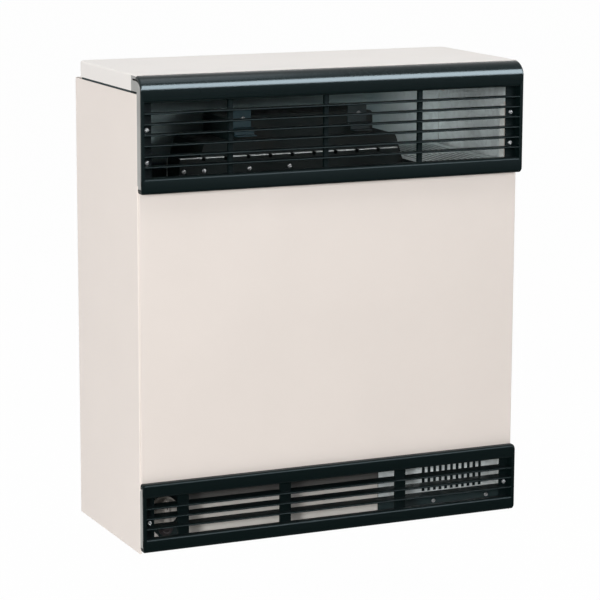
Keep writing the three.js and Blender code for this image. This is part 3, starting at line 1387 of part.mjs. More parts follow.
function burner() {
  return group(
    mesh('burner_box', burnerBox(), STOVE_BLACK),
    mesh('burner_tube', burnerTube(), STEEL),
    mesh('injector', injector(), BRASS),
    mesh('pilot_burner', pilotBurner(), STEEL),
    mesh('spark_electrode', sparkElectrode(), CERAMIC),
    mesh('thermocouple', thermocouple(), COPPER),
    mesh('sight_frame', sightFrame(), STEEL),
    mesh('sight_glass', sightGlass(), GLASS),
    mesh('burner_access_cover', accessCover(), BEIGE),
  );
}

function controls() {
  const knobBack = BRACKET_FRONT - KNOB_STANDOFF;
  return group(
    mesh('control_bracket', controlBracket(), DARK_SHEET),
    mesh('gas_valve_body', gasValve(), ALUMINIUM),
    mesh('spindle_sleeve', spindleSleeve(), BRASS),
    mesh('valve_spindle', valveSpindle(), BRASS),
    placed(mesh('control_knob', controlKnob(), KNOB_GREY), KNOB_X, knobBack, KNOB_Z),
    mesh('piezo_body', piezoBody(), BUTTON_BLACK),
    placed(
      mesh('piezo_button', piezoButton(), BUTTON_BLACK),
      BUTTON_X,
      BRACKET_FRONT - BUTTON_PROUD,
      BUTTON_Z,
    ),
    mesh('gas_inlet_fitting', inletFitting(), BRASS),
    mesh('inlet_support', inletSupport(), GALVANISED),
    mesh('gas_inlet_pipe', inletPipe(), COPPER),
    mesh('burner_feed_pipe', burnerFeedPipe(), ALUMINIUM),
    mesh('pilot_tube', pilotTube(), ALUMINIUM),
    mesh('ignition_lead', ignitionLead(), LEAD_RED),
    mesh('thermostat_phial', thermostatPhial(), COPPER),
    mesh('phial_clip', phialClip(), STEEL),
  );
}

const heater = group(casing(), grilles(), heatExchanger(), burner(), controls());
heater.position.z = -HANGING_LEVEL;

export default heater;
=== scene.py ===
"""Wall mounted gas heater: its looks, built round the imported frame.

A room-sealed gas convector in an enamelled sheet casing, with a louvred grille above and
below a plain front. What shows through the louvres is here too: the black heat exchanger,
the bright inner walls, the slotted guard, the access cover and the controls.

Lengths are metres unless a name ends in _mm. X runs to the right seen from the room, Y into
the wall and Z up. The origin is midway between the two upper wall screws.
"""

import json
import math

import bmesh
import bpy
import numpy as np
from bpy.props import FloatProperty, FloatVectorProperty, IntProperty, PointerProperty
from mathutils import Matrix, Vector


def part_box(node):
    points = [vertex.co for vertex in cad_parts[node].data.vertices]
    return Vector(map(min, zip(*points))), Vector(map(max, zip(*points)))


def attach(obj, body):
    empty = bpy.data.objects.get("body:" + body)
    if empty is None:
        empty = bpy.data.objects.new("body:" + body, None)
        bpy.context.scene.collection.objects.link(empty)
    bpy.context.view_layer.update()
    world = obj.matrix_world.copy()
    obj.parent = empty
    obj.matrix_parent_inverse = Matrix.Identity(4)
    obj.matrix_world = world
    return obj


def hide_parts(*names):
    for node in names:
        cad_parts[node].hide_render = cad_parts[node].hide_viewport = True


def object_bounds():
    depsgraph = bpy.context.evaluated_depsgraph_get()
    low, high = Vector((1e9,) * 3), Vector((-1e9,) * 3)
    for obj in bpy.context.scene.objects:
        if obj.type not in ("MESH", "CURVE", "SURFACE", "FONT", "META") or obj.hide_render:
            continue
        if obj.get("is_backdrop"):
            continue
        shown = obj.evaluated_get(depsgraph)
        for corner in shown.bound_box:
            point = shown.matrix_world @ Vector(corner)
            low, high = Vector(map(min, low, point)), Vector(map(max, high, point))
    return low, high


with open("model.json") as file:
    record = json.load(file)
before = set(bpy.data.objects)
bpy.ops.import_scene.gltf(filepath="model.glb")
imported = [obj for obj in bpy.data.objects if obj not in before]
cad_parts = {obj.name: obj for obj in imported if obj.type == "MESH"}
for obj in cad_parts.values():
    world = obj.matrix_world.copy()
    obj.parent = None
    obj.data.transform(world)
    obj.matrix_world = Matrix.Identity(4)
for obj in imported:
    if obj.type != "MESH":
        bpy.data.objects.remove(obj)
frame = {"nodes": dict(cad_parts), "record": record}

CAD_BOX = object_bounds()

bl_info = {
    "name": "Wall Mounted Gas Heater",
    "version": (1, 0, 0),
    "blender": (4, 5, 0),
    "location": "View3D > Sidebar > Gas Heater",
    "description": "Casing, grilles, heat exchanger and controls of a gas convector",
    "category": "Add Mesh",
}

MM = 0.001
HEATER, KNOB, BUTTON = "heater", "knob", "igniter_button"
SEAM_GAP = 0.3 * MM  # between pieces that rest on each other
STILE_BACK = 0.05 * MM  # a stile's face behind the bands that it runs into
COVER_INSET = 0.05 * MM  # keeps the top cover's thickened sides inside the CAD box
END_CAP = 2.7 * MM  # an end cap and the gap beside it
OVER_SIDES = 3 * MM  # from the side panels' top edges up to the mouldings
INNER_SHEET = 0.8 * MM  # thickness of the small sheets inside
INNER_BEND = 1.2 * MM  # their bend radius
FASTENERS = (-0.206, -0.158, -0.0905, -0.030)  # x of the screws under the front shield's edge
KEYHOLE_X, KEYHOLE_INSET = 0.19, 50 * MM  # from the middle, and from the top or bottom


# ---------------------------------------------------------------- sizes and colours


def length(name, description, millimetres):
    """A length that the user can change, in metres from its default in millimetres."""
    return FloatProperty(
        name=name,
        description=description,
        default=millimetres * MM,
        min=0.0,
        unit="LENGTH",
    )


def colour(name, description, rgb):
    return FloatVectorProperty(
        name=name,
        description=description,
        default=rgb,
        min=0.0,
        max=1.0,
        size=3,
        subtype="COLOR",
    )


class HeaterSizes(bpy.types.PropertyGroup):
    """Sizes that the visible pieces share."""

    sheet: length("Sheet", "Thickness of the enamelled casing", 1.0)
    thin_sheet: length("Thin sheet", "Thickness of the front panel", 0.8)
    moulding_wall: length("Moulding wall", "Wall of the grille mouldings", 3.0)
    blade: length("Blade", "Thickness of a louvre blade", 2.2)
    pitch: length("Louvre pitch", "Height from one blade to the next", 14.2)
    nose_radius: length("Nose radius", "Rounded crown of the upper grille", 18.5)
    upper_band: length("Upper band", "Plain band under the upper louvres", 21.5)
    upper_depth: length("Upper blade depth", "Front to back of an upper blade", 15.0)
    lower_band: length("Lower band", "Plain band under the lower louvres", 19.0)
    lower_depth: length("Lower blade depth", "Front to back of a lower blade", 18.0)
    end_corner: length("End corner", "Radius of a grille's outer corners", 4.0)
    side_flange: length("Side flange", "Front flange of a side panel", 18.0)
    flange_lift: length("Flange lift", "Casing's underside to the flange's lower end", 6.0)
    cover_edge: length("Cover edge", "Radius along the top cover's edges", 2.5)
    cover_corner: length("Cover corner", "Plan radius of the cover's rear corners", 14.0)
    knob_flutes: IntProperty(
        name="Knob flutes",
        description="Shallow flutes round the knob's skirt",
        default=30,
        min=3,
    )


class HeaterColours(bpy.types.PropertyGroup):
    """Colours of the finishes."""

    cream: colour("Cream enamel", "Front and side panels", (0.765, 0.695, 0.645))
    cover: colour("Cover enamel", "Top cover", (0.80, 0.765, 0.735))
    black: colour("Black moulding", "Grilles", (0.0025, 0.0062, 0.0062))
    cap: colour("End cap", "Light grey ends of the grilles", (0.31, 0.31, 0.30))
    zinc: colour("Zinc", "Galvanised sheet", (0.76, 0.82, 0.82))
    # clean zinc of the rear shield, before its painted shade towards the left and under the shelf
    shield: colour("Rear shield", "Weathered zinc behind the louvres", (0.76, 0.83, 0.83))
    stove: colour("Stove black", "Heat-resisting paint", (0.004, 0.010, 0.010))
    dark_sheet: colour("Dark sheet", "Control bracket and base channel", (0.012, 0.024, 0.026))
    primer: colour("Access cover", "Plate behind the lower grille", (0.64, 0.62, 0.58))
    knob: colour("Knob", "Control knob", (0.42, 0.40, 0.37))


class StudioSettings(bpy.types.PropertyGroup):
    """Camera, lamps and floor."""

    lens: FloatProperty(name="Lens", description="Focal length", default=151.6, min=1.0, unit="CAMERA")
    place: FloatVectorProperty(
        name="Camera",
        description="Where the camera stands",
        default=(-1.4531, -3.3416, 0.4132),
        size=3,
        subtype="TRANSLATION",
    )
    turn: FloatVectorProperty(
        name="Camera turn",
        description="Yaw to the right, pitch down and roll",
        default=tuple(math.radians(angle) for angle in (24.422, 10.801, 0.194)),
        size=3,
        subtype="EULER",
    )
    floor_drop: length("Floor drop", "Casing's underside to the floor", 160.0)
    floor_radius: length("Floor radius", "Radius of the round floor", 24000.0)
    ambient: FloatProperty(
        name="Ambient",
        description="Light that comes evenly from all round",
        default=0.16,
        min=0.0,
    )


def sizes():
    return bpy.context.scene.heater_sizes


def colours():
    return bpy.context.scene.heater_colours


def extent(node):
    """A node's lowest and highest corners as two arrays."""
    return tuple(np.array(corner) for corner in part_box(node))


def axis_of(node):
    """The x and z of the line along Y through a node's middle."""
    low, high = extent(node)
    return (low[0] + high[0]) / 2, (low[2] + high[2]) / 2


def casing_lines():
    """Where mouldings fit round the casing: the depths of the front panel's face and back, and
    the levels below it, above it and above the side panels."""
    low, high = extent("front_panel")
    over_sides = extent("side_panel_left")[1][2] + OVER_SIDES
    return low[1] - SEAM_GAP, high[1], low[2] - SEAM_GAP, high[2] + SEAM_GAP, over_sides


def full_turn(count):
    return np.linspace(0.0, 2 * math.pi, count, endpoint=False)


def circle(centre, radius, angle):
    return np.stack([centre[0] + radius * np.cos(angle), centre[1] + radius * np.sin(angle)], 1)


def span(sign, inner, outer):
    """Two distances from the middle, on one side of it, the lower first."""
    return tuple(sorted((sign * inner, sign * outer)))


def box_corners(u, v):
    return (u[0], v[0]), (u[1], v[0]), (u[1], v[1]), (u[0], v[1])


# ---------------------------------------------------------------- surfaces


def rounded(corners, steps=8, closed=True):
    """Straight legs joined by arcs, from rows of u, v, radius.

    The centre of a corner's arc lies on the bisector of its two legs, radius / sin(half the
    angle between them) from the corner. The arc runs from the centre's foot on one leg to its
    foot on the other, each radius / tan(half the angle) from the corner.
    """
    table = np.array([(*corner, 0.0)[:3] for corner in corners], float)
    point, radius = table[:, :2], table[:, 2:].copy()
    if not closed:
        radius[[0, -1]] = 0.0
    back = np.roll(point, 1, axis=0) - point
    ahead = np.roll(point, -1, axis=0) - point
    back /= np.linalg.norm(back, axis=1, keepdims=True)
    ahead /= np.linalg.norm(ahead, axis=1, keepdims=True)
    half = np.arccos(np.clip((back * ahead).sum(1, keepdims=True), -1.0, 1.0)) / 2
    bisector = back + ahead
    bisector /= np.maximum(np.linalg.norm(bisector, axis=1, keepdims=True), 1e-12)
    centre = point + bisector * radius / np.sin(half)
    reach = radius / np.tan(half)
    first, last = point + back * reach - centre, point + ahead * reach - centre
    start = np.arctan2(first[:, 1], first[:, 0])
    turn = np.arctan2(last[:, 1], last[:, 0]) - start
    turn = (turn + math.pi) % (2 * math.pi) - math.pi
    angle = start[:, None] + turn[:, None] * np.linspace(0.0, 1.0, steps + 1)
    ring = np.stack([np.cos(angle), np.sin(angle)], axis=2)
    line = (centre[:, None] + radius[:, None] * ring).reshape(-1, 2)
    return distinct(line, closed)


def distinct(line, closed):
    """The points of a line without those that repeat the one before."""
    step = np.linalg.norm(line - np.roll(line, 1, axis=0), axis=1)
    keep = step > 1e-7
    if not closed:
        keep[0] = True
    return line[keep]


def sheet_section(corners, thickness, steps=8):
    """The closed section of a bent sheet, from the corners of its middle line.

    Each point moves half the thickness to either side along the mean of the normals of its
    two legs, lengthened by 1 / cos(half the turn), so that both faces stay parallel to the
    middle line.
    """
    line = rounded(corners, steps, closed=False)
    leg = np.diff(line, axis=0)
    leg /= np.linalg.norm(leg, axis=1, keepdims=True)
    normal = np.stack([-leg[:, 1], leg[:, 0]], axis=1)
    before, after = np.vstack([normal[:1], normal]), np.vstack([normal, normal[-1:]])
    mean = before + after
    mean /= np.linalg.norm(mean, axis=1, keepdims=True)
    mean /= (mean * after).sum(1, keepdims=True)
    return np.vstack([line + mean * thickness / 2, (line - mean * thickness / 2)[::-1]])


def prism(outline, axis, start, stop):
    """An outline carried straight along an axis: point + t * axis, t from start to stop.

    The outline's plane is YZ along x, XZ along y and XY along z. Gives points and faces.
    """
    outline = np.asarray(outline, float)
    count = len(outline)
    along = "xyz".index(axis)
    across = [i for i in range(3) if i != along]
    points = np.zeros((2, count, 3))
    points[:, :, across] = outline
    points[:, :, along] = np.array([[start], [stop]])
    near = np.arange(count)
    far = np.roll(near, -1)
    walls = np.stack([near, far, far + count, near + count], axis=1).tolist()
    return points.reshape(-1, 3), walls + [near.tolist(), (near + count).tolist()]


def block(x, y, z):
    return prism(box_corners(x, y), "z", *z)


def lattice(points, wrap=False):
    """A grid of points as a surface. Its columns close on themselves where wrap is true."""
    rows, columns = points.shape[:2]
    index = np.arange(rows * columns).reshape(rows, columns)
    if wrap:
        index = np.hstack([index, index[:, :1]])
    corners = [index[:-1, :-1], index[:-1, 1:], index[1:, 1:], index[1:, :-1]]
    return points.reshape(-1, 3), np.stack(corners, axis=2).reshape(-1, 4).tolist()


def spun(radius, depth, angle, axis_at=(0.0, 0.0)):
    """Points about an axis parallel to Y: x = radius cos a, y = depth and z = radius sin a."""
    x, z = axis_at[0] + radius * np.cos(angle), axis_at[1] + radius * np.sin(angle)
    return np.stack([x, depth + 0 * x, z], axis=2)


def turned(profile, axis_at, sides, flutes=0, flute_depth=0.0):
    """A profile turned about an axis parallel to Y through axis_at, an x and z.

    Point at angle a: x = radius cos a, z = radius sin a, with the profile's own depth as y.
    Where the third column of a profile row is 1, the radius is less by
    flute_depth * (1 - cos(flutes * a)) / 2.
    """
    rows = np.array([(*row, 0.0)[:3] for row in profile], float)
    angle = full_turn(sides)
    groove = flute_depth * (1 - np.cos(flutes * angle)) / 2
    radius = rows[:, :1] - rows[:, 2:] * groove
    return lattice(spun(radius, rows[:, 1:2], angle, axis_at), wrap=True)


def tube(route, radius, sides=20, spacing=2.0 * MM):
    """A round pipe along a centripetal Catmull-Rom line through the points of its route.

    Between points 1 and 2 the line is the blend of the straight lines through points 0 to 3,
    each reached at a parameter that grows by the square root of the distance. A ring of the
    pipe's radius is carried along it on a frame that is turned as little as it can be.
    """
    line = smooth_line(np.asarray(route, float), spacing)
    ahead = np.gradient(line, axis=0)
    ahead /= np.linalg.norm(ahead, axis=1, keepdims=True)
    side = np.cross(ahead, steady_direction(ahead))
    side /= np.linalg.norm(side, axis=1, keepdims=True)
    up = np.cross(side, ahead)
    angle = full_turn(sides)[None, :, None]
    ring = side[:, None] * np.cos(angle) + up[:, None] * np.sin(angle)
    points, faces = lattice(line[:, None] + radius * ring, wrap=True)
    last = len(points) - sides
    return points, faces + [list(range(sides)), list(range(last, len(points)))]


def steady_direction(ahead):
    """The direction that a line's tangents stay furthest from, the same for all of them."""
    return np.linalg.eigh(ahead.T @ ahead)[1][:, 0]


def smooth_line(knots, spacing):
    """The points of tube's line, with an end knot added beyond either end."""
    knots = np.array([2 * knots[0] - knots[1], *knots, 2 * knots[-1] - knots[-2]])
    step = np.sqrt(np.linalg.norm(np.diff(knots, axis=0), axis=1))
    time = np.concatenate([[0.0], np.cumsum(step)])
    pieces = []
    for i in range(1, len(knots) - 2):
        count = max(2, int(round(step[i] ** 2 / spacing)))
        t = np.linspace(time[i], time[i + 1], count, endpoint=i == len(knots) - 3)[:, None]

        def mix(a, b, low, high):
            return (a * (time[high] - t) + b * (t - time[low])) / (time[high] - time[low])

        a1 = mix(knots[i - 1], knots[i], i - 1, i)
        a2 = mix(knots[i], knots[i + 1], i, i + 1)
        a3 = mix(knots[i + 1], knots[i + 2], i + 1, i + 2)
        b1, b2 = mix(a1, a2, i - 1, i + 1), mix(a2, a3, i, i + 2)
        pieces.append(mix(b1, b2, i, i + 1))
    return np.vstack(pieces)


def pan_head(radius, dome, reach, width, depth, rings=14, sides=48):
    """A pan head with a cross recess, as a grid of radius and angle, facing -Y at y = 0.

    Its height over the seat is dome * sqrt(1 - (r / radius)^3). The recess takes depth away
    where a point is nearer than half its width to either arm and within the arms' reach.
    """
    r = np.linspace(0.0, 1.0, rings)[:, None] ** 0.8 * radius
    angle = full_turn(sides)
    x, z = r * np.cos(angle), r * np.sin(angle)
    height = dome * np.sqrt(np.clip(1 - (r / radius) ** 3, 0.0, 1.0)) + 0 * x
    arm = np.minimum(np.abs(x), np.abs(z)) / (width / 2)
    out = np.hypot(x, z) / reach
    fall = np.clip(1.5 - arm, 0.0, 1.0) * np.clip((1.25 - out) / 0.5, 0.0, 1.0)
    return np.stack([x, -(height - depth * fall), z], axis=2)


# ---------------------------------------------------------------- pieces


def build(name, shells, slot, stands_for=(), body=HEATER, bevel=0.0, sharp=32.0, finish=None):
    """One piece from shells of points and faces, shaded smooth but for its sharp edges."""
    points, faces, base = [], [], 0
    for shell_points, shell_faces in shells:
        points.append(shell_points)
        faces += [[corner + base for corner in face] for face in shell_faces]
        base += len(shell_points)
    mesh = bpy.data.meshes.new(name)
    mesh.from_pydata(np.vstack(points).tolist(), [], faces)
    return finish_piece(name, mesh, slot, stands_for, body, bevel, sharp, finish)


def finish_piece(name, mesh, slot, stands_for, body=HEATER, bevel=0.0, sharp=32.0, finish=None):
    """Closes seams and poles, turns the faces outwards, and puts the mesh on its body.

    The finish is its slot's, or another one by name where it is duller or carries painted shade.
    """
    work = bmesh.new()
    work.from_mesh(mesh)
    bmesh.ops.remove_doubles(work, verts=work.verts, dist=1e-6)
    bmesh.ops.dissolve_degenerate(work, edges=work.edges, dist=1e-6)
    bmesh.ops.recalc_face_normals(work, faces=work.faces)
    work.to_mesh(mesh)
    work.free()
    mesh.shade_smooth()
    mesh.set_sharp_from_angle(angle=math.radians(sharp))
    piece = bpy.data.objects.new(name, mesh)
    bpy.context.scene.collection.objects.link(piece)
    mesh.materials.append(FINISHES[finish or slot])
    if bevel:
        soften(piece, bevel, sharp)
    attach(piece, body)
    if stands_for:
        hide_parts(*stands_for)
    return piece


def soften(piece, bevel, sharp):
    """Rounds the edges that are sharper than an angle and keeps the faces between them flat."""
    edge = piece.modifiers.new("Soft edges", "BEVEL")
    edge.width, edge.segments = bevel, 2
    edge.limit_method, edge.angle_limit = "ANGLE", math.radians(sharp)
    edge.harden_normals = False
    piece.modifiers.new("Flat faces", "WEIGHTED_NORMAL").keep_sharp = False


def flat_plate(outlines, axis, start, stop, bevel=0.0):
    """Outline and holes filled as a flat curve, thickened, bevelled and laid across X or Y."""
    curve = bpy.data.curves.new("plate", "CURVE")
    curve.dimensions, curve.fill_mode = "2D", "BOTH"
    curve.extrude = (stop - start) / 2 - bevel
    curve.bevel_depth, curve.bevel_resolution = bevel, 1
    curve.offset = -bevel
    for outline in outlines:
        spline = curve.splines.new("POLY")
        spline.points.add(len(outline) - 1)
        rows = np.c_[outline, np.zeros(len(outline)), np.ones(len(outline))]
        spline.points.foreach_set("co", rows.ravel())
        spline.use_cyclic_u = True
    holder = bpy.data.objects.new("plate", curve)
    mesh = bpy.data.meshes.new_from_object(holder)
    bpy.data.objects.remove(holder)
    flat = np.zeros(len(mesh.vertices) * 3)
    mesh.vertices.foreach_get("co", flat)
    flat = flat.reshape(-1, 3)
    order = {"x": (2, 0, 1), "y": (0, 2, 1)}[axis]
    placed = flat[:, order].copy()
    placed[:, "xyz".index(axis)] += (start + stop) / 2
    mesh.vertices.foreach_set("co", placed.ravel())
    mesh.update()
    return mesh


# ---------------------------------------------------------------- finishes


class Value:
    """A number that varies over a surface. Arithmetic on it adds Math nodes to its paint."""

    def __init__(self, paint, socket):
        self.paint, self.socket = paint, socket

    def math(self, operation, *terms):
        node = self.paint.node("ShaderNodeMath", {"operation": operation}, dict(enumerate(terms)))
        return Value(self.paint, node.outputs[0])

    def __add__(self, other):
        return self.math("ADD", self, other)

    def __sub__(self, other):
        return self.math("SUBTRACT", self, other)

    def __rsub__(self, other):
        return self.math("SUBTRACT", other, self)

    def __mul__(self, other):
        return self.math("MULTIPLY", self, other)

    __radd__, __rmul__ = __add__, __mul__

    def between(self, low, high):
        """0 below low, 1 above high and a smooth rise between them."""
        settings = {"interpolation_type": "SMOOTHSTEP"}
        names = {"Value": self, "From Min": low, "From Max": high}
        node = self.paint.node("ShaderNodeMapRange", settings, names)
        return Value(self.paint, node.outputs["Result"])


class Paint:
    """A material with one Principled shader and the patterns that feed it."""

    def __init__(self, name, **uniform):
        self.material = bpy.data.materials.new(name)
        self.material.use_nodes = True
        self.tree = self.material.node_tree
        self.tree.nodes.clear()
        names = {socket_name(key): given for key, given in uniform.items()}
        self.shader = self.node("ShaderNodeBsdfPrincipled", {}, names)
        self.node("ShaderNodeOutputMaterial", {}, {"Surface": self.shader})
        self.place = self.node("ShaderNodeTexCoord").outputs["Object"]

    def node(self, kind, settings=None, sockets=None):
        """Adds a node: its settings first, then the values or links of its sockets."""
        node = self.tree.nodes.new(kind)
        for key, given in (settings or {}).items():
            setattr(node, key, given)
        for key, given in (sockets or {}).items():
            self.feed(node.inputs[key], given)
        return node

    def feed(self, socket, given):
        given = getattr(given, "socket", given)
        if isinstance(given, bpy.types.Node):
            given = given.outputs[0]
        if isinstance(given, bpy.types.NodeSocket):
            self.tree.links.new(given, socket)
        elif socket.type == "RGBA":
            socket.default_value = (*given, 1.0)[:4]
        else:
            socket.default_value = given

    def stretched(self, scale):
        settings = {"vector_type": "POINT"}
        return self.node("ShaderNodeMapping", settings, {"Vector": self.place, "Scale": scale})

    def noise(self, scale, detail=3.0, roughness=0.5, stretch=None):
        """Soft noise from 0 to 1, with scale in patches per metre."""
        place = self.stretched(stretch) if stretch else self.place
        names = {"Vector": place, "Scale": scale, "Detail": detail, "Roughness": roughness}
        return Value(self, self.node("ShaderNodeTexNoise", {}, names).outputs[0])

    def crystals(self, scale, feature="F1"):
        """A Voronoi pattern: a number for each cell, or the distance to the nearest edge."""
        names = {"Vector": self.place, "Scale": scale}
        node = self.node("ShaderNodeTexVoronoi", {"feature": feature}, names)
        if feature != "F1":
            return Value(self, node.outputs["Distance"])
        split = self.node("ShaderNodeSeparateColor", {}, {"Color": node.outputs["Color"]})
        return Value(self, split.outputs[0])

    def part_of(self, vector, letter):
        split = self.node("ShaderNodeSeparateXYZ", {}, {"Vector": vector})
        return Value(self, split.outputs[letter])

    def height(self):
        return self.part_of(self.place, "Z")

    def across(self):
        return self.part_of(self.place, "X")

    def facing_up(self):
        return self.part_of(self.node("ShaderNodeNewGeometry").outputs["Normal"], "Z")

    def blend(self, first, second, share):
        """A colour between two, by a share from 0 to 1."""
        node = self.node("ShaderNodeMix", {"data_type": "RGBA"}, {"Factor": share})
        ends = [socket for socket in node.inputs if socket.type == "RGBA"]
        for socket, given in zip(ends, (first, second)):
            self.feed(socket, given)
        return next(socket for socket in node.outputs if socket.type == "RGBA")

    def relief(self, height, distance, strength=1.0):
        names = {"Height": height, "Distance": distance, "Strength": strength}
        return self.node("ShaderNodeBump", {}, names).outputs["Normal"]

    def finish(self, **varying):
        for key, given in varying.items():
            self.feed(self.shader.inputs[socket_name(key)], given)
        return self.material


def socket_name(key):
    """The Principled shader's own name for one of the keywords that paints are given."""
    plain = key.replace("_", " ").title()
    return RENAMED.get(plain, plain)


RENAMED = {"Ior": "IOR", "Specular": "Specular IOR Level", "Coat": "Coat Weight"}

FINISHES = {}
TOP_ROW_SHADE_LEVELS = (-0.5125, -0.5095)  # levels between which the access cover darkens upwards: painted shade of the lower grille's top band on its top row
SHADE_ACROSS_X = (0.17, 0.26)  # x between which the inner zinc sheets go from painted shade, at the left, to their clean colour
SHELF_SHADOW_DEPTHS = (12 * MM, 1 * MM)  # under the shelf, where the painted shadow is darkest and where it ends
HOTTEST = (-0.12, 0.02)  # levels between which the stove black turns brownish
SHADE_AND_DULL_FINISHES = {  # nodes given another finish than their slot's: painted shade on all but the phial, whose zinc is duller
    "rear_shield": "weathered",
    "side_liner_right": "weathered",
    # dark sheet here is painted shade on parts that lie in the casing's shade
    "cover_support_left": "dark_sheet",
    "hood_bracket_right": "dark_sheet",
    "thermostat_phial": "dull_zinc",
}


def dark(rgb, share):
    return tuple(channel * share for channel in rgb)


def enamel(name, rgb):
    """Stoved enamel on sheet: a faint orange peel, soft mottling and light dust upwards."""
    paint = Paint(name, specular=0.35)
    mottle = paint.noise(9.0, 3.0)
    grain = paint.noise(1400.0, 2.0)
    peel = paint.noise(420.0, 2.0)
    handled = paint.noise(5.0, 4.0, 0.6, (1.0, 1.0, 0.35)).between(0.48, 0.72)
    base = paint.blend(dark(rgb, 0.988), dark(rgb, 1.006), mottle.between(0.3, 0.7))
    base = paint.blend(base, dark(rgb, 0.93), paint.facing_up().between(0.3, 0.95) * 0.25 * grain)
    return paint.finish(
        base_color=base,
        roughness=0.40 + handled * 0.07 + grain * 0.03,
        normal=paint.relief(peel * 0.7 + grain * 0.3, 0.00004, 0.5),
    )


def black_moulding(name, rgb, specular=0.21, roughness=0.20):
    """Injection-moulded gloss: fine flow marks, hairline rubs along X and a film of dust."""
    paint = Paint(name, specular=specular, specular_tint=(0.74, 0.90, 1.0))
    flow = paint.noise(30.0, 3.0, 0.5, (0.15, 1.0, 1.0))
    rubs = paint.noise(900.0, 2.0, 0.5, (0.04, 1.0, 1.0)).between(0.62, 0.75)
    dust = paint.facing_up().between(0.35, 0.9) * paint.noise(160.0, 4.0, 0.6).between(0.35, 0.7)
    base = paint.blend(rgb, (0.030, 0.038, 0.041), flow.between(0.45, 0.9) * 0.06)
    base = paint.blend(base, (0.060, 0.070, 0.072), dust * 0.08)
    return paint.finish(
        base_color=base,
        roughness=roughness + rubs * 0.05 + dust * 0.04,
        normal=paint.relief(flow + rubs * 0.1, 0.00003, 0.4),
    )


def plastic(name, rgb, roughness=0.42, grain_scale=1800.0):
    """Satin moulding with a fine spark-eroded grain and slightly greyed faces."""
    paint = Paint(name, specular=0.4)
    grain = paint.noise(grain_scale, 2.0, 0.6)
    patch = paint.noise(26.0, 3.0)
    return paint.finish(
        base_color=paint.blend(dark(rgb, 0.90), dark(rgb, 1.05), patch.between(0.3, 0.7)),
        roughness=roughness + grain * 0.10,
        normal=paint.relief(grain, 0.00004, 0.5),
    )


def galvanised(name, rgb, shade_colour=None):
    """Hot-dipped zinc: crystals a few millimetres across that differ in shade and gloss.

    With a second colour it is painted to that towards the left, a painted shade, and to a
    fifth of that below the slotted shelf, a painted shadow.
    """
    paint = Paint(name, specular=0.5)
    spangle = paint.crystals(130.0)
    feather = paint.noise(500.0, 4.0, 0.6, (1.0, 0.4, 1.0))
    stain = paint.noise(14.0, 4.0, 0.6).between(0.5, 0.8)
    base = paint.blend(dark(rgb, 0.84), dark(rgb, 1.08), spangle * 0.7 + feather * 0.3)
    base = paint.blend(base, dark(rgb, 0.72), stain * 0.35)
    if shade_colour:
        # painted shade: darker towards the left and darkest under the slotted shelf
        shelf = float(extent("slotted_guard")[1][2])
        above = paint.height().between(*(shelf - depth for depth in SHELF_SHADOW_DEPTHS))
        base = paint.blend(shade_colour, base, paint.across().between(*SHADE_ACROSS_X))
        base = paint.blend(dark(shade_colour, 0.2), base, above)
    return paint.finish(
        base_color=base,
        metallic=0.38 - stain * 0.12,
        roughness=0.34 + spangle * 0.16 + stain * 0.15,
        normal=paint.relief(spangle * 0.5 + feather * 0.5, 0.00003, 0.35),
    )


def sheet_paint(name, rgb, tint, roughness=0.52, specular=0.4, shade_levels=None):
    """Thin paint or plating on rough sheet, a little chalky, with a second tint in patches.

    Given two levels, it is painted dark above them as painted shade.
    """
    paint = Paint(name, specular=specular)
    patch = paint.noise(22.0, 4.0, 0.6).between(0.42, 0.68)
    grain = paint.noise(900.0, 3.0, 0.6)
    drawn = paint.noise(260.0, 2.0, 0.5, (0.06, 1.0, 1.0))
    base = paint.blend(paint.blend(rgb, tint, patch * 0.5), dark(tint, 1.1), grain * 0.15)
    if shade_levels:
        # painted shade: the sheet turns dark above these levels
        base = paint.blend(base, dark(rgb, 0.08), paint.height().between(*shade_levels))
    return paint.finish(
        base_color=base,
        roughness=roughness + patch * 0.12 + grain * 0.05,
        normal=paint.relief(grain * 0.6 + drawn * 0.4, 0.00005, 0.5),
    )


def stove_black(name, rgb):
    """Matt heat-resisting black that has burnt brownish where it runs hottest."""
    paint = Paint(name, specular=0.10)
    burnt = paint.height().between(*HOTTEST) * paint.noise(16.0, 4.0, 0.6).between(0.35, 0.7)
    grit = paint.noise(1100.0, 3.0, 0.7)
    settled = paint.facing_up().between(0.4, 0.95) * paint.noise(90.0, 4.0, 0.6).between(0.2, 0.7)
    base = paint.blend(rgb, (0.022, 0.018, 0.014), burnt * 0.4)
    base = paint.blend(base, dark(rgb, 3.0), grit.between(0.55, 0.8) * 0.4)
    return paint.finish(
        base_color=paint.blend(base, (0.12, 0.14, 0.14), settled * 0.45),
        roughness=0.62 + grit * 0.18,
        normal=paint.relief(grit, 0.00007, 0.6),
    )


def bright_metal(name, rgb, tarnish, roughness=0.28):
    """Drawn or machined metal with fine lines along Z and patches of tarnish."""
    paint = Paint(name, specular=0.5)
    lines = paint.noise(1300.0, 2.0, 0.6, (1.0, 1.0, 0.08))
    patch = paint.noise(48.0, 4.0, 0.6).between(0.45, 0.75)
    return paint.finish(
        base_color=paint.blend(rgb, tarnish, patch * 0.55 + lines * 0.12),
        metallic=0.96 - patch * 0.18,
        roughness=roughness + lines * 0.12 + patch * 0.16,
        normal=paint.relief(lines, 0.00002, 0.4),
    )


def cast_metal(name, rgb):
    """Die-cast alloy: a dull, slightly pitted skin."""
    paint = Paint(name, specular=0.5)
    skin = paint.noise(300.0, 4.0, 0.65)
    pits = paint.crystals(700.0, "DISTANCE_TO_EDGE").between(0.0, 0.12)
    return paint.finish(
        base_color=paint.blend(dark(rgb, 0.72), rgb, skin.between(0.3, 0.7)),
        metallic=0.85,
        roughness=0.42 + skin * 0.16,
        normal=paint.relief(skin * 0.7 + pits * 0.3, 0.00008, 0.5),
    )


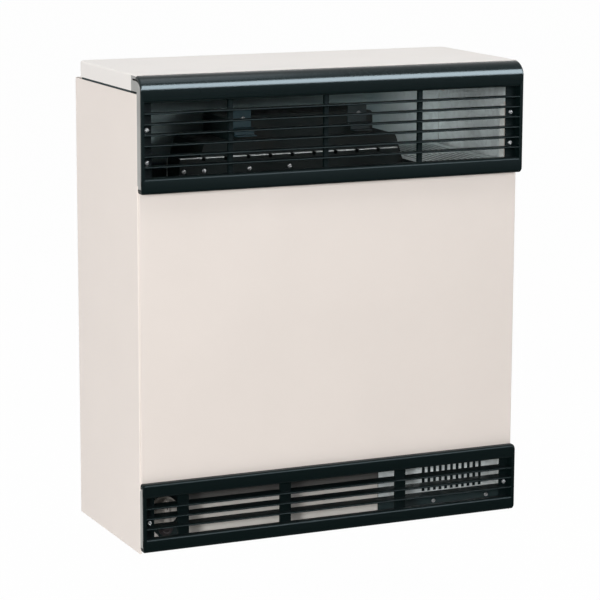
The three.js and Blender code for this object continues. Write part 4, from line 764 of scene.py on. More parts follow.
def fibre_board(name, rgb):
    """Pressed board with strands that lie along X."""
    paint = Paint(name, specular=0.15)
    strands = paint.noise(700.0, 4.0, 0.75, (0.3, 1.0, 1.6))
    return paint.finish(
        base_color=paint.blend(dark(rgb, 0.75), rgb, strands.between(0.3, 0.7)),
        roughness=0.88 + strands * 0.08,
        normal=paint.relief(strands, 0.00020, 0.7),
    )


def glazed(name, rgb):
    """Glazed ceramic under a clear coat, with small dull specks."""
    paint = Paint(name, specular=0.5, coat=0.6)
    speck = paint.noise(800.0, 3.0).between(0.62, 0.74)
    return paint.finish(
        base_color=paint.blend(rgb, dark(rgb, 0.7), speck * 0.4),
        roughness=0.22 + speck * 0.2,
    )


def heat_glass(name):
    """Clear heat-resisting glass with a haze that thickens in patches."""
    paint = Paint(name, ior=1.47, specular=0.5)
    haze = paint.noise(60.0, 4.0, 0.6).between(0.4, 0.8)
    return paint.finish(
        base_color=paint.blend((0.60, 0.68, 0.68), (0.36, 0.36, 0.33), haze),
        roughness=0.06 + haze * 0.30,
        alpha=0.34 + haze * 0.30,
    )


def make_finishes():
    """Every finish by the name of its slot, and three more: a duller moulding, a duller zinc and zinc
    with painted shade.
    """
    tone = colours()
    FINISHES.update(
        cream_enamel=enamel("cream enamel", tone.cream),
        cover_enamel=enamel("cover enamel", tone.cover),
        black_gloss=black_moulding("black gloss moulding", tone.black),
        black_satin=black_moulding("black satin moulding", tone.black, 0.055, 0.36),
        cap_grey=plastic("end cap grey", tone.cap),
        galvanised=galvanised("galvanised sheet", tone.zinc),
        # zinc with painted shade towards the left and a painted shadow under the shelf
        weathered=galvanised("weathered zinc", tone.shield, (0.17, 0.23, 0.235)),
        dull_zinc=galvanised("dull zinc", dark(tone.zinc, 0.45)),
        # also painted shade on the two zinc nodes that lie in shade
        dark_sheet=sheet_paint("dark sheet", tone.dark_sheet, (0.020, 0.034, 0.036), 0.52, 0.15),
        stove_black=stove_black("stove black", tone.stove),
        # the access cover's top row is painted dark, a painted shade under the lower grille's top band
        beige_primer=sheet_paint("access cover primer", tone.primer, (0.54, 0.51, 0.46), shade_levels=TOP_ROW_SHADE_LEVELS),
        bracket_steel=sheet_paint(
            "blue-grey plating", (0.016, 0.044, 0.055), (0.028, 0.056, 0.066), 0.45, 0.12
        ),
        steel=bright_metal("plated steel", (0.30, 0.31, 0.32), (0.15, 0.15, 0.14)),
        aluminium=cast_metal("aluminium", (0.60, 0.61, 0.62)),
        brass=bright_metal("brass", (0.62, 0.46, 0.20), (0.26, 0.17, 0.07), 0.25),
        copper=bright_metal("copper", (0.66, 0.33, 0.21), (0.20, 0.09, 0.05), 0.28),
        knob_grey=plastic("knob moulding", tone.knob, 0.38),
        button_black=plastic("button moulding", (0.045, 0.038, 0.041), 0.30),
        ceramic=glazed("electrode ceramic", (0.76, 0.72, 0.64)),
        gasket=fibre_board("gasket board", (0.56, 0.53, 0.46)),
        sight_glass=heat_glass("sight glass"),
        lead_red=plastic("lead silicone", (0.20, 0.026, 0.022), 0.5, 900.0),
    )


# ---------------------------------------------------------------- casing


def folded(name, points, faces, slot, stands_for, thickness):
    """An open sheet in the place of a node's outer face, thickened inwards, edges eased."""
    piece = build(name, [(points, faces)], slot, [stands_for])
    wall = piece.modifiers.new("Sheet", "SOLIDIFY")
    wall.thickness, wall.offset, wall.use_even_offset = thickness, -1.0, True
    soften(piece, 0.15 * MM, 32.0)


def side_panel(side):
    """Sheet bent in at the front for the grilles and at the rear over the back plate.

    Its plan line is carried up Z. The cells of the front flange are left out at the foot.
    """
    name = f"side_panel_{side}"
    low, high = extent(name)
    size = sizes()
    outer, inner = (low[0], high[0]) if side == "left" else (high[0], low[0])
    sign = np.sign(outer)
    line = rounded([
        (inner, high[1]),
        (outer, high[1], 10 * MM),
        (outer, low[1], 1.8 * MM),
        (outer - sign * size.side_flange, low[1]),
    ], 12, closed=False)
    levels = np.array([low[2], low[2] + size.flange_lift, high[2]])
    grid = np.zeros((3, len(line), 3))
    grid[:, :, :2], grid[:, :, 2] = line, levels[:, None]
    points, faces = lattice(grid)
    del faces[len(line) - 2]
    folded(f"{name}_sheet", points, faces, "cream_enamel", name, size.sheet)


def front_panel():
    """A flat sheet whose upright edges are hemmed: folded back flat behind it."""
    low, high = extent("front_panel")
    sheet = sizes().thin_sheet
    front, back = low[1] + sheet / 2, high[1] - sheet / 2
    bend, hem, reach = (back - front) / 2 - 0.01 * MM, 12 * MM, high[0] - sheet / 2
    section = sheet_section([
        (-reach + hem, back),
        (-reach, back, bend),
        (-reach, front, bend),
        (reach, front, bend),
        (reach, back, bend),
        (reach - hem, back),
    ], sheet, 10)
    shell = prism(section, "z", low[2], high[2])
    build("front_panel_sheet", [shell], "cream_enamel", ["front_panel"])


def top_cover():
    """A shallow pan that is open in front, where its sheet runs on alone over the grille.

    The plan line runs back along one side, round the rear corners and forward along the other.
    Over it stands the edge profile: a skirt, a quarter circle of the edge radius and a last
    short step inwards. A point is the plan point, moved inwards along the plan normal by the
    profile's inset. The top is one face inside the last row. The sheet is thickened inwards.
    """
    low, high = extent("top_cover")
    size = sizes()
    edge, corner, skirt_front = size.cover_edge, size.cover_corner, low[1] + 17.7 * MM
    half = high[0] - COVER_INSET
    path = rounded([
        (-half, low[1]),
        (-half, high[1], corner),
        (half, high[1], corner),
        (half, low[1]),
    ], 16, closed=False)
    at = np.array([(-half, skirt_front)] * 2), np.array([(half, skirt_front)] * 2)
    path = np.vstack([path[:1], at[0], path[1:-1], at[1], path[-1:]])
    leg = np.gradient(path, axis=0)
    leg[[0, 1, 2]], leg[[-1, -2, -3]] = (0.0, 1.0), (0.0, -1.0)
    leg /= np.linalg.norm(leg, axis=1, keepdims=True)
    inward = np.stack([leg[:, 1], -leg[:, 0]], axis=1)
    turn = np.linspace(0.0, math.pi / 2, 9)
    inset = np.concatenate([[0.0], edge * (1 - np.cos(turn)), [edge + 1 * MM]])
    rise = np.concatenate([[low[2]], high[2] - edge + edge * np.sin(turn), [high[2]]])
    grid = np.zeros((len(rise), len(path), 3))
    grid[:, :, :2] = path + inward * inset[:, None, None]
    grid[:, :, 1] = np.maximum(grid[:, :, 1], low[1])
    lowest = np.full(len(path), low[2])
    lowest[[0, 1, -2, -1]] = high[2] - size.sheet
    grid[:, :, 2] = np.maximum(rise[:, None], lowest)
    points, faces = lattice(grid)
    last = len(points) - len(path)
    faces.append(list(range(last, len(points))))
    folded("top_cover_pan", points, faces, "cover_enamel", "top_cover", size.sheet)


# ---------------------------------------------------------------- grilles


def blade_section(face, middle, depth, thickness, tilt):
    """A blade's section: straight sides, a half-round front edge and a softened rear edge,
    turned about its middle so that its front edge sinks."""
    half = thickness / 2
    edges = (half * 0.98, half * 0.4, half * 0.4, half * 0.98)
    corners = box_corners((0.0, depth), (-half, half))
    section = rounded([(*corner, edge) for corner, edge in zip(corners, edges)], 6)
    c, s = math.cos(tilt), math.sin(tilt)
    arm = (section - (depth / 2, 0.0)) @ np.array([[c, s], [-s, c]])
    return arm + (depth / 2 + face, middle)


class Grille:
    """What both grilles share: the corners of their box and their louvre levels."""

    def __init__(self, node, band, blades):
        low, high = extent(node)
        self.face, self.back = low[1], high[1]
        self.half, self.cap_inner = high[0], high[0] - END_CAP
        self.bottom, self.top = low[2], high[2]
        self.panel_back, self.seat, self.panel_bottom, self.panel_top, self.side_top = casing_lines()
        self.louvres = self.bottom + band
        self.levels = [self.louvres + (i + 1) * sizes().pitch for i in range(blades)]
        self.louvres_top = self.louvres + (blades + 1) * sizes().pitch

    def blades(self, depth, tilt):
        reach = self.cap_inner - 1 * MM
        for level in self.levels:
            section = blade_section(self.face + 0.3 * MM, level, depth, sizes().blade, tilt)
            yield prism(section, "x", -reach, reach)

    def ribs(self, shares, width):
        """Uprights behind the blades, each at a share of the width from the middle."""
        front, back, edge = self.panel_back - 2 * MM, self.panel_back + 2.8 * MM, 0.6 * MM
        for share in shares:
            left, right = share * 2 * self.half - width / 2, share * 2 * self.half + width / 2
            corners = [(left, front, edge), (right, front, edge), (right, back), (left, back)]
            section = rounded(corners, 4)
            yield prism(section, "z", self.louvres - 1 * MM, self.louvres_top + 1 * MM)

    def run(self, section, end_section, rooted, moving):
        """A band's section along X, with an outer corner rounded off at either end.

        Between the end caps it is a prism. Beyond them its height shrinks towards the level
        where it is rooted: z = rooted + (z - rooted) * (1 - drop / height), where the drop is
        a quarter ellipse as wide as the cap and as high as the corner's radius.
        """
        yield prism(section, "x", -self.cap_inner, self.cap_inner)
        turn = np.linspace(0.0, math.pi / 2, 8)
        reach = self.cap_inner + (self.half - self.cap_inner) * np.sin(turn)
        drop = sizes().end_corner * (1 - np.cos(turn))
        shrink = 1 - drop / abs(moving - rooted)
        for sign in (-1, 1):
            grid = np.zeros((len(turn), len(end_section), 3))
            grid[:, :, 0] = sign * reach[:, None]
            grid[:, :, 1] = end_section[:, 0]
            grid[:, :, 2] = rooted + (end_section[:, 1] - rooted) * shrink[:, None]
            points, faces = lattice(grid, wrap=True)
            count = len(end_section)
            last = len(points) - count
            yield points, faces + [list(range(count)), list(range(last, len(points)))]

    def ends(self, wall, stile, flange):
        """End wall, front stile and the recessed flange that is screwed to the casing."""
        inner, flange_inner = self.cap_inner - 2 * MM, self.half - 19.4 * MM
        front, seat = (self.face + STILE_BACK, self.face + 3 * MM), (self.seat - 2.2 * MM, self.seat)
        for sign in (-1, 1):
            yield prism(wall, "x", *span(sign, inner, self.cap_inner))
            yield block(span(sign, inner, self.half), front, stile)
            yield block(span(sign, flange_inner, self.cap_inner), seat, flange)


def upper_grille():
    """Nose and band as bent sections carried along X, six blades, three ribs and two ends."""
    size = sizes()
    grille = Grille("upper_grille", size.upper_band, 6)
    wall, face, crown, back = size.moulding_wall, grille.face, grille.top, grille.panel_back
    half, inset, line, lip = wall / 2, wall - 0.5 * MM, face + wall / 2, wall / 2 + 0.5 * MM
    split, foot = crown - size.nose_radius, (line, grille.bottom + half, 2.5 * MM)
    brow = [(grille.back, crown - half), (line, crown - half, size.nose_radius - half)]
    under = (line, grille.louvres_top + half, lip), (back, grille.louvres_top + half)
    over = (back, grille.louvres - half), (line, grille.louvres - half, lip)
    hem = (back, grille.bottom + half)
    nose = sheet_section([*brow, *under], wall, 24)
    nose_end = sheet_section([*brow, (line, split - 2 * MM)], wall, 24)
    band = sheet_section([*over, foot, hem], wall, 10)
    band_end = sheet_section([(line, grille.louvres - 4 * MM), foot, hem], wall, 10)
    end_wall = rounded([
        (back, grille.bottom + inset),
        (face + inset, grille.bottom + inset, 1 * MM),
        (face + inset, crown - inset, size.nose_radius - inset),
        (grille.back, crown - inset),
        (grille.back, grille.side_top),
        (grille.seat, grille.side_top),
        (grille.seat, grille.panel_top),
        (back, grille.panel_top),
    ], 12)
    stile = (grille.bottom + size.upper_band / 2, split)
    flange = (grille.panel_top, grille.side_top - 5 * MM)
    shells = [
        *grille.run(band, band_end, grille.louvres, grille.bottom),
        *grille.blades(size.upper_depth, 0.0),
        *grille.ribs((-0.268, -0.021, 0.229), 7 * MM),
        *grille.ends(end_wall, stile, flange),
    ]
    nose_shells = [*grille.run(nose, nose_end, split, crown)]
    build("upper_grille_nose", nose_shells, "black_gloss", ["upper_grille"], sharp=40.0)
    build("upper_grille_louvres", shells, "black_gloss", sharp=40.0, finish="black_satin")


def lower_grille():
    """Two bands as bent sections carried along X, three tilted blades, ribs and ends."""
    size = sizes()
    grille = Grille("lower_grille", size.lower_band, 3)
    wall, face, back = size.moulding_wall, grille.face, grille.panel_back
    line, inset = face + wall / 2, wall - 0.5 * MM

    def band(inner, outer):
        sign = np.sign(outer - inner) * wall / 2
        rim = (line, outer - sign, 2 * MM), (back, outer - sign)
        section = sheet_section([(back, inner + sign), (line, inner + sign, 2 * MM), *rim], wall, 10)
        end = sheet_section([(line, inner + 2 * sign), *rim], wall, 10)
        return grille.run(section, end, inner, outer)

    end_wall = rounded([
        (grille.seat, grille.bottom + inset),
        (face + inset, grille.bottom + inset, 1 * MM),
        (face + inset, grille.top - inset, 1 * MM),
        (back, grille.top - inset),
        (back, grille.panel_bottom),
        (grille.seat, grille.panel_bottom),
    ], 6)
    stile = (grille.bottom + size.lower_band / 2, grille.top - 9.6 * MM)
    shells = [
        *band(grille.louvres, grille.bottom),
        *band(grille.louvres_top, grille.top),
        *grille.blades(size.lower_depth, math.radians(6.0)),
        *grille.ribs((-0.392, -0.125, 0.186), 16 * MM),
        *grille.ends(end_wall, stile, (grille.bottom + wall, grille.panel_bottom)),
    ]
    name, stands_for = "lower_grille_moulding", ["lower_grille"]
    build(name, shells, "black_gloss", stands_for, sharp=40.0, finish="black_satin")


def end_cap(node, outline):
    """A cap's outline as a flat plate as thick as its node."""
    low, high = extent(node)
    mesh = flat_plate([outline], "x", low[0], high[0], 0.35 * MM)
    finish_piece(f"{node}_plate", mesh, "cap_grey", [node])


def upper_cap(side):
    """The cap inside the nose, with a lug that reaches back over the casing."""
    node = f"upper_cap_{side}"
    low, high = extent(node)
    back, seat, _, panel_top, side_top = casing_lines()
    nose_wall = 3.45 * MM
    lug_front, crown = extent("side_panel_left")[0][1] + 3.6 * MM, high[2] - nose_wall
    outline = rounded([
        (back, low[2]),
        (low[1], low[2], 1 * MM),
        (low[1], crown, sizes().nose_radius - nose_wall),
        (lug_front, crown),
        (lug_front, high[2]),
        (high[1], high[2], 1 * MM),
        (high[1], side_top),
        (seat, side_top),
        (seat, panel_top),
        (back, panel_top),
    ], 12)
    end_cap(node, outline)


def lower_cap(side):
    """The cap beside the lower grille, stepped round the foot of the front panel."""
    node = f"lower_cap_{side}"
    low, high = extent(node)
    back, seat, panel_bottom, _, _ = casing_lines()
    outline = rounded([
        (seat, low[2]),
        (low[1], low[2], 1 * MM),
        (low[1], high[2], 1 * MM),
        (back, high[2]),
        (back, panel_bottom),
        (seat, panel_bottom),
    ], 6)
    end_cap(node, outline)


def screw(node):
    """A pan-head screw in the place of its node: head, seat and tapered shank."""
    low, high = extent(node)
    middle = (low + high) / 2
    radius, dome = (high[0] - low[0]) / 2 * 1.05, 2.2 * MM
    seat = low[1] + dome
    head = pan_head(radius, dome, 1.9 * MM, 0.9 * MM, 1.1 * MM)
    shank, end = 1.9 * MM, high[1] - seat
    profile = np.array([(shank, 0.0), (shank, end - 1 * MM), (0.0, end)])
    body = spun(profile[:, :1], profile[:, 1:], full_turn(head.shape[1]))
    points, faces = lattice(np.vstack([head, body]), wrap=True)
    place = np.array([middle[0], seat, middle[2]])
    build(f"{node}_pan_head", [(points + place, faces)], "steel", [node])


# ---------------------------------------------------------------- inner details


def base_channel():
    """A dark channel across the foot of the casing: its front stands in line with the guard,
    and its rear rises behind the guard's slots. Two screws hold it."""
    low, high = extent("slotted_guard")
    bottom, top = CAD_BOX[0][2] + 2 * MM, low[2] - SEAM_GAP
    front, floor = low[1], bottom + INNER_SHEET / 2
    line, rear = front + INNER_SHEET / 2, front + 11 * MM
    trough = (line, floor, INNER_BEND), (rear, floor, INNER_BEND)
    # partly painted shade: the dark rear behind the guard's slots fills where only the shade under the
    # casing would show; the channel and its screws are a real part
    section = sheet_section([(line, top), *trough, (rear, top + 50 * MM)], INNER_SHEET)
    end = extent("side_panel_right")[1][0] - sizes().sheet - SEAM_GAP
    build("base_channel", [prism(section, "x", low[0], end)], "dark_sheet")
    for number, x in enumerate((low[0] + 88 * MM, high[0] - 16 * MM)):
        place = np.array([x, front - SEAM_GAP, (bottom + top) / 2 + 4 * MM])
        small_screw(f"base_channel_screw_{number}", place, 3.0 * MM)


def rear_baffle():
    """A strip from the rear shield up to the cover, whose upper edge is bent forward."""
    floor, ceiling = extent("rear_shield")[1][2] + SEAM_GAP, extent("top_cover")[0][2] - SEAM_GAP
    side = extent("cover_support_right")[0][0] - SEAM_GAP
    line, bend = extent("top_cover")[1][1] + 2.5 * MM, ceiling - INNER_SHEET / 2
    corners = [(line, floor), (line, bend, INNER_BEND), (line - 5 * MM, bend)]
    strip = prism(sheet_section(corners, INNER_SHEET), "x", -side, side)
    # its zinc carries the same painted shade as the rear shield
    build("rear_baffle", [strip], "galvanised", finish="weathered")


def liner_lap(side):
    """A zinc strip over the joint between a side liner's top and the cover support."""
    low, high = extent(f"side_liner_{side}")
    back = extent(f"cover_support_{side}")[1][1]
    face = max(abs(low[0]), abs(high[0])) - INNER_SHEET - SEAM_GAP
    width = span(np.sign(low[0]), face - 0.6 * MM, face)
    strip = block(width, (low[1] + 2 * MM, back), (high[2] - 5 * MM, high[2] + 8 * MM))
    build(f"liner_lap_{side}", [strip], "galvanised")


def guard_angle():
    """A zinc angle on the side panel, level with the guard's face, that closes its end."""
    low, high = extent("slotted_guard")
    wall = extent("side_panel_right")[1][0] - sizes().sheet
    line, corner = low[1] + INNER_SHEET / 2, wall - SEAM_GAP - INNER_SHEET / 2
    corners = [(high[0] + 0.5 * MM, line), (corner, line, INNER_BEND), (corner, line + 22 * MM)]
    section = sheet_section(corners, INNER_SHEET)
    top = extent("side_liner_right")[0][2] - SEAM_GAP
    build("guard_angle", [prism(section, "z", low[2], top)], "galvanised")


def pointer_mark():
    """A small painted triangle on the control bracket, beside the igniter's button."""
    face = extent("control_bracket")[0][1]
    left, bottom, width, height, edge = -0.2515, -0.5592, 10 * MM, 7.5 * MM, 0.3 * MM
    top, tip = bottom + height, left + 0.35 * width
    corners = [(left, bottom, edge), (left + width, bottom, edge), (tip, top, edge), (left, top, edge)]
    mark = prism(rounded(corners, 4), "y", face - 0.25 * MM, face - 0.05 * MM)
    build("pointer_mark", [mark], "cover_enamel")


def ignition_lead():
    """The silicone-covered lead from the igniter's rear stud to the electrode's foot."""
    low, high = extent("ignition_lead")
    start, end = extent("piezo_button"), extent("spark_electrode")
    button = (start[0] + start[1]) / 2
    wing, foot = extent("control_bracket")[1][0], (end[0] + end[1]) / 2
    box = extent("burner_box")
    level = box[0][2] - 32 * MM
    pilot = (box[0][1] + box[1][1]) / 2 - 22 * MM
    route = np.array([
        (button[0], low[1], button[2]),
        (button[0], low[1] + 16 * MM, button[2]),
        (button[0] + 12 * MM, low[1] + 30 * MM, button[2] + 2 * MM),
        (wing, pilot + 32 * MM, level - 4 * MM),
        (wing + 30 * MM, pilot + 24 * MM, level - 5 * MM),
        (foot[0] - 24 * MM, pilot + 4 * MM, level - 4 * MM),
        (foot[0] - 3 * MM, pilot, level + 4 * MM),
        (foot[0], pilot, level + 12 * MM),
        (foot[0], pilot, high[2]),
    ])
    build("ignition_lead_sleeve", [tube(route, 2.2 * MM)], "lead_red", ["ignition_lead"])


def small_screw(name, place, radius):
    """A pan head alone, closed behind by a rim and a point in its middle."""
    head = pan_head(radius, 1.6 * MM, 1.5 * MM, 0.8 * MM, 0.8 * MM)
    rim = head[-1:] * (1, 0, 1) + (0, SEAM_GAP * 0.9, 0)
    points, faces = lattice(np.vstack([head, rim, rim * 0 + rim.mean((0, 1))]), wrap=True)
    build(name, [(points + place, faces)], "steel")


def shield_edge():
    """Bare zinc along the front shield's notched top edge, and the fasteners below it."""
    low, high = extent("front_shield")
    count, notch, margin, sheet = 10, 5 * MM, 0.5 * MM, 0.6 * MM
    pitch, face, level = (high[0] - low[0]) / count, low[1] - sheet, high[2] + 0.7 * MM
    corners = [(low[1] + 5 * MM, level), (face, level, sheet), (face, high[2] - 0.4 * MM)]
    section = sheet_section(corners, sheet)
    shells = []
    for i in range(count):
        start = low[0] + i * pitch + (notch if i else 0.0) + margin
        shells.append(prism(section, "x", start, low[0] + (i + 1) * pitch - margin))
    build("shield_edge", shells, "galvanised", finish="dull_zinc")
    for number, x in enumerate(FASTENERS):
        place = np.array([max(x, low[0] + 6 * MM), low[1] - SEAM_GAP, high[2] - 17.6 * MM])
        small_screw(f"shield_fastener_{number}", place, 3.2 * MM)


# ---------------------------------------------------------------- flue


def ring_wall(name, node, slot, outer, wall, flange=None):
    """A duct about the flue's axis: its wall's profile, turned."""
    low, high = extent(node)
    lip = 0.3 * MM
    profile = [
        (outer - wall, low[1]),
        (outer - wall, high[1]),
        (outer - lip, high[1]),
        (outer, high[1] - lip),
    ]
    if flange:
        width, thickness = flange
        profile += [
            (outer, low[1] + thickness + 1 * MM),
            (outer + 1 * MM, low[1] + thickness),
            (outer + width - lip, low[1] + thickness),
            (outer + width, low[1] + thickness - lip),
            (outer + width, low[1]),
        ]
    else:
        profile.append((outer, low[1]))
    profile.append(profile[0])
    build(name, [turned(profile, axis_of(node), 96)], slot, [node])


def ducts():
    """The outer duct for air, and inside it the flue pipe with its flange."""
    low, high = extent("air_duct")
    ring_wall("air_duct_ring", "air_duct", "aluminium", (high[2] - low[2]) / 2, 1.2 * MM)
    low, high = extent("flue_duct")
    outer = (high[2] - low[2]) / 2 - 12 * MM
    ring_wall("flue_duct_pipe", "flue_duct", "aluminium", outer, 1.2 * MM, (12 * MM, 1.5 * MM))


def back_plate():
    """The wall plate with its duct hole and keyholes, and its two lips as bent strips."""
    low, high = extent("back_plate")
    duct_low, duct_high = extent("air_duct")
    hole = circle(axis_of("air_duct"), (duct_high[2] - duct_low[2]) / 2 + SEAM_GAP, full_turn(96))
    plate, bend, lip_half = 1.5 * MM, 2 * MM, 254.7 * MM
    sheet = box_corners((low[0], high[0]), (low[2] + bend, high[2] - bend))
    levels = low[2] + KEYHOLE_INSET, high[2] - KEYHOLE_INSET
    keyholes = [keyhole(x, z) for z in levels for x in (-KEYHOLE_X, KEYHOLE_X)]
    flat = flat_plate([np.array(sheet), hole, *keyholes], "y", -plate, 0.0)
    finish_piece("back_plate_sheet", flat, "galvanised", ["back_plate"])
    for name, edge, sign in (("bottom", low[2], 1), ("top", high[2], -1)):
        line, end = edge + sign * plate / 2, edge + sign * (bend + plate / 2 + SEAM_GAP)
        corners = [(low[1], line), (-plate / 2, line, bend), (-plate / 2, end)]
        strip = prism(sheet_section(corners, plate, 8), "x", -lip_half, lip_half)
        build(f"back_plate_lip_{name}", [strip], "galvanised")


def keyhole(x, z):
    """A round hole for a screw's head that opens upwards into a slot for its shank."""
    head, slot, rise = 5.5 * MM, 3 * MM, 12 * MM
    meet = math.asin(slot / head)
    lower = np.linspace(math.pi / 2 + meet, 2.5 * math.pi - meet, 33)
    upper = np.linspace(0.0, math.pi, 17)
    return np.vstack([circle((x, z), head, lower), circle((x, z + rise), slot, upper)])


# ---------------------------------------------------------------- controls


def knob():
    """The control knob: a fluted skirt under a domed cap, and a grip bar with a pointer."""
    low, high = extent("control_knob")
    axis = axis_of("control_knob")
    radius, back = (high[0] - low[0]) / 2, high[1]
    skirt = radius / MM
    cap_mm = [
        (0, -13, 0),
        (skirt - 8, -13, 0),
        (skirt - 6, -12.7, 0),
        (skirt - 4.6, -11.8, 0.2),
        (skirt - 3.7, -10, 0.6),
        (skirt - 2.6, -6, 1),
        (skirt - 2.0, -4.4, 1),
        (skirt - 0.7, -3.7, 0),
        (skirt, -3.1, 0),
        (skirt, -0.4, 0),
        (skirt - 0.4, 0, 0),
        (skirt - 3.6, 0, 0),
        (skirt - 5, -9, 0),
        (7, -9, 0),
        (6.5, -1, 0),
        (3.3, -1, 0),
        (3.3, -8.3, 0),
        (0, -8.3, 0),
    ]
    cap = [(r * MM, back + y * MM, fluted) for r, y, fluted in cap_mm]
    count = sizes().knob_flutes
    shell = turned(cap, axis, count * 6, count, 0.8 * MM)
    build("knob_cap", [shell], "knob_grey", ["control_knob"], KNOB, sharp=38.0)
    half, reach = 3.5 * MM, radius - 4 * MM
    grip = rounded_bar(axis, half, (-reach, reach), half * 0.95, 8)
    bar = prism(grip, "y", low[1], back - 12.5 * MM)
    build("knob_grip", [bar], "knob_grey", body=KNOB, bevel=0.7 * MM)
    pointer = rounded_bar(axis, 0.7 * MM, (5 * MM, reach - 2 * MM), 0.5 * MM, 4)
    mark = prism(pointer, "y", low[1] - 0.02 * MM, low[1] + 0.4 * MM)
    build("knob_pointer", [mark], "button_black", body=KNOB)


def rounded_bar(axis, half, heights, radius, steps):
    """The outline of an upright bar over an axis, with its four corners rounded."""
    widths, levels = (axis[0] - half, axis[0] + half), [axis[1] + height for height in heights]
    return rounded([(*corner, radius) for corner in box_corners(widths, levels)], steps)


def button():
    """The igniter's push button: a dished face inside a rounded rim."""
    low, high = extent("piezo_button")
    radius, rim = (high[0] - low[0]) / 2, 1.2 * MM
    turn = np.linspace(0.0, math.pi / 2, 7)
    edge = np.stack([radius - rim + rim * np.sin(turn), low[1] + rim - rim * np.cos(turn)], 1)
    dish = [(0.0, low[1] + 0.7 * MM), (radius * 0.45, low[1] + 0.5 * MM)]
    profile = [*dish, *map(tuple, edge), (radius, high[1]), (0.0, high[1])]
    shell = turned(profile, axis_of("piezo_button"), 48)
    build("igniter_button_cap", [shell], "button_black", ["piezo_button"], BUTTON)


# ---------------------------------------------------------------- studio


def studio_world(ambient):
    """White to the camera, in gloss and through glass, and a plain level for light."""
    world = bpy.data.worlds.new("studio")
    bpy.context.scene.world = world
    world.use_nodes = True
    tree = world.node_tree
    tree.nodes.clear()
    path = tree.nodes.new("ShaderNodeLightPath")

    def sums(operation, a, b):
        node = tree.nodes.new("ShaderNodeMath")
        node.operation = operation
        for socket, given in zip(node.inputs, (a, b)):
            if isinstance(given, bpy.types.NodeSocket):
                tree.links.new(given, socket)
            else:
                socket.default_value = given
        return node.outputs[0]

    mirrored = sums("MAXIMUM", path.outputs["Is Glossy Ray"], path.outputs["Is Transmission Ray"])
    shown = sums("MAXIMUM", path.outputs["Is Camera Ray"], mirrored)
    lit = sums("MULTIPLY", sums("SUBTRACT", 1.0, shown), ambient)
    background = tree.nodes.new("ShaderNodeBackground")
    background.inputs["Color"].default_value = (1.0, 1.0, 1.0, 1.0)
    tree.links.new(sums("ADD", shown, lit), background.inputs["Strength"])
    output = tree.nodes.new("ShaderNodeOutputWorld")
    tree.links.new(background.outputs[0], output.inputs["Surface"])


def floor_paint():
    """Pale floor that the camera sees as white but for the object's shadow."""
    paint = Paint("studio floor", base_color=(0.86, 0.86, 0.86), roughness=0.9, specular=0.05)
    glow = paint.node("ShaderNodeEmission", {}, {"Color": (1.0, 1.0, 1.0), "Strength": 1.0})
    rays = paint.node("ShaderNodeLightPath").outputs
    seen = Value(paint, rays["Is Camera Ray"])
    for kind in ("Is Glossy Ray", "Is Transmission Ray"):
        seen = seen.math("MAXIMUM", seen, rays[kind])
    mixed = paint.node("ShaderNodeMixShader", {}, {0: seen * 0.985, 1: paint.shader, 2: glow})
    output = next(n for n in paint.tree.nodes if n.type == "OUTPUT_MATERIAL")
    paint.feed(output.inputs["Surface"], mixed)
    return paint.material


def softbox(name, place, aim, width, height, watts):
    """An area lamp turned to a point and hidden from the camera."""
    light = bpy.data.lights.new(name, "AREA")
    light.shape, light.size, light.size_y = "RECTANGLE", width, height
    light.energy = watts
    lamp = bpy.data.objects.new(name, light)
    lamp.location = place
    direction = Vector(aim) - Vector(place)
    lamp.rotation_euler = direction.to_track_quat("-Z", "Y").to_euler()
    lamp.visible_camera = False
    bpy.context.scene.collection.objects.link(lamp)
    return lamp


def black_card(floor):
    """A dark mat and an upright card in front on the right, seen only in gloss, so that the
    upright faces of the mouldings stay black."""
    paint = Paint("black card", base_color=(0.0, 0.0, 0.0), roughness=1.0, specular=0.0)
    mesh = bpy.data.meshes.new("black_card")
    left, right, near, far, top, lift = -0.4, 3.0, -0.45, -3.2, 0.42, 2 * MM
    rows = [(near, floor + lift), (far, floor + lift), (far, top)]
    points = [(x, y, z) for y, z in rows for x in (left, right)]
    mesh.from_pydata(points, [], [(0, 1, 3, 2), (2, 3, 5, 4)])
    mesh.materials.append(paint.material)
    card = bpy.data.objects.new("black_card", mesh)
    bpy.context.scene.collection.objects.link(card)
    card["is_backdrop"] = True
    card.visible_camera = card.visible_shadow = False
    card.visible_diffuse = card.visible_transmission = False


def place_camera(settings):
    """Yaw turns about Z, pitch tips the view down and roll turns about the view itself."""
    lens = bpy.data.cameras.new("studio camera")
    lens.lens, lens.sensor_width = settings.lens, 36.0
    camera = bpy.data.objects.new("studio camera", lens)
    yaw, pitch, roll = settings.turn
    turn = (
        Matrix.Rotation(-yaw, 4, "Z")
        @ Matrix.Rotation(math.pi / 2 - pitch, 4, "X")
        @ Matrix.Rotation(roll, 4, "Z")
    )
    camera.matrix_world = Matrix.Translation(settings.place) @ turn
    bpy.context.scene.collection.objects.link(camera)
    bpy.context.scene.camera = camera


# ---------------------------------------------------------------- operators


class Builder:
    bl_options = {"REGISTER", "UNDO"}


class HEATER_OT_finishes(Builder, bpy.types.Operator):
    """Make the finishes and put them on the nodes that stay as they are"""

    bl_idname = "heater.finishes"
    bl_label = "Finishes"

    def execute(self, context):
        make_finishes()
        for part in frame["record"]["subparts"]:
            mesh = frame["nodes"][part["node"]].data
            mesh.materials.clear()
            # some nodes take a darker finish as painted shade
            mesh.materials.append(FINISHES[SHADE_AND_DULL_FINISHES.get(part["node"], part["material_slot"])])
        return {"FINISHED"}


class HEATER_OT_casing(Builder, bpy.types.Operator):
    """Side panels, front panel, top cover and back plate"""

    bl_idname = "heater.casing"
    bl_label = "Casing"

    def execute(self, context):
        for side in ("left", "right"):
            side_panel(side)
        front_panel()
        top_cover()
        back_plate()
        return {"FINISHED"}


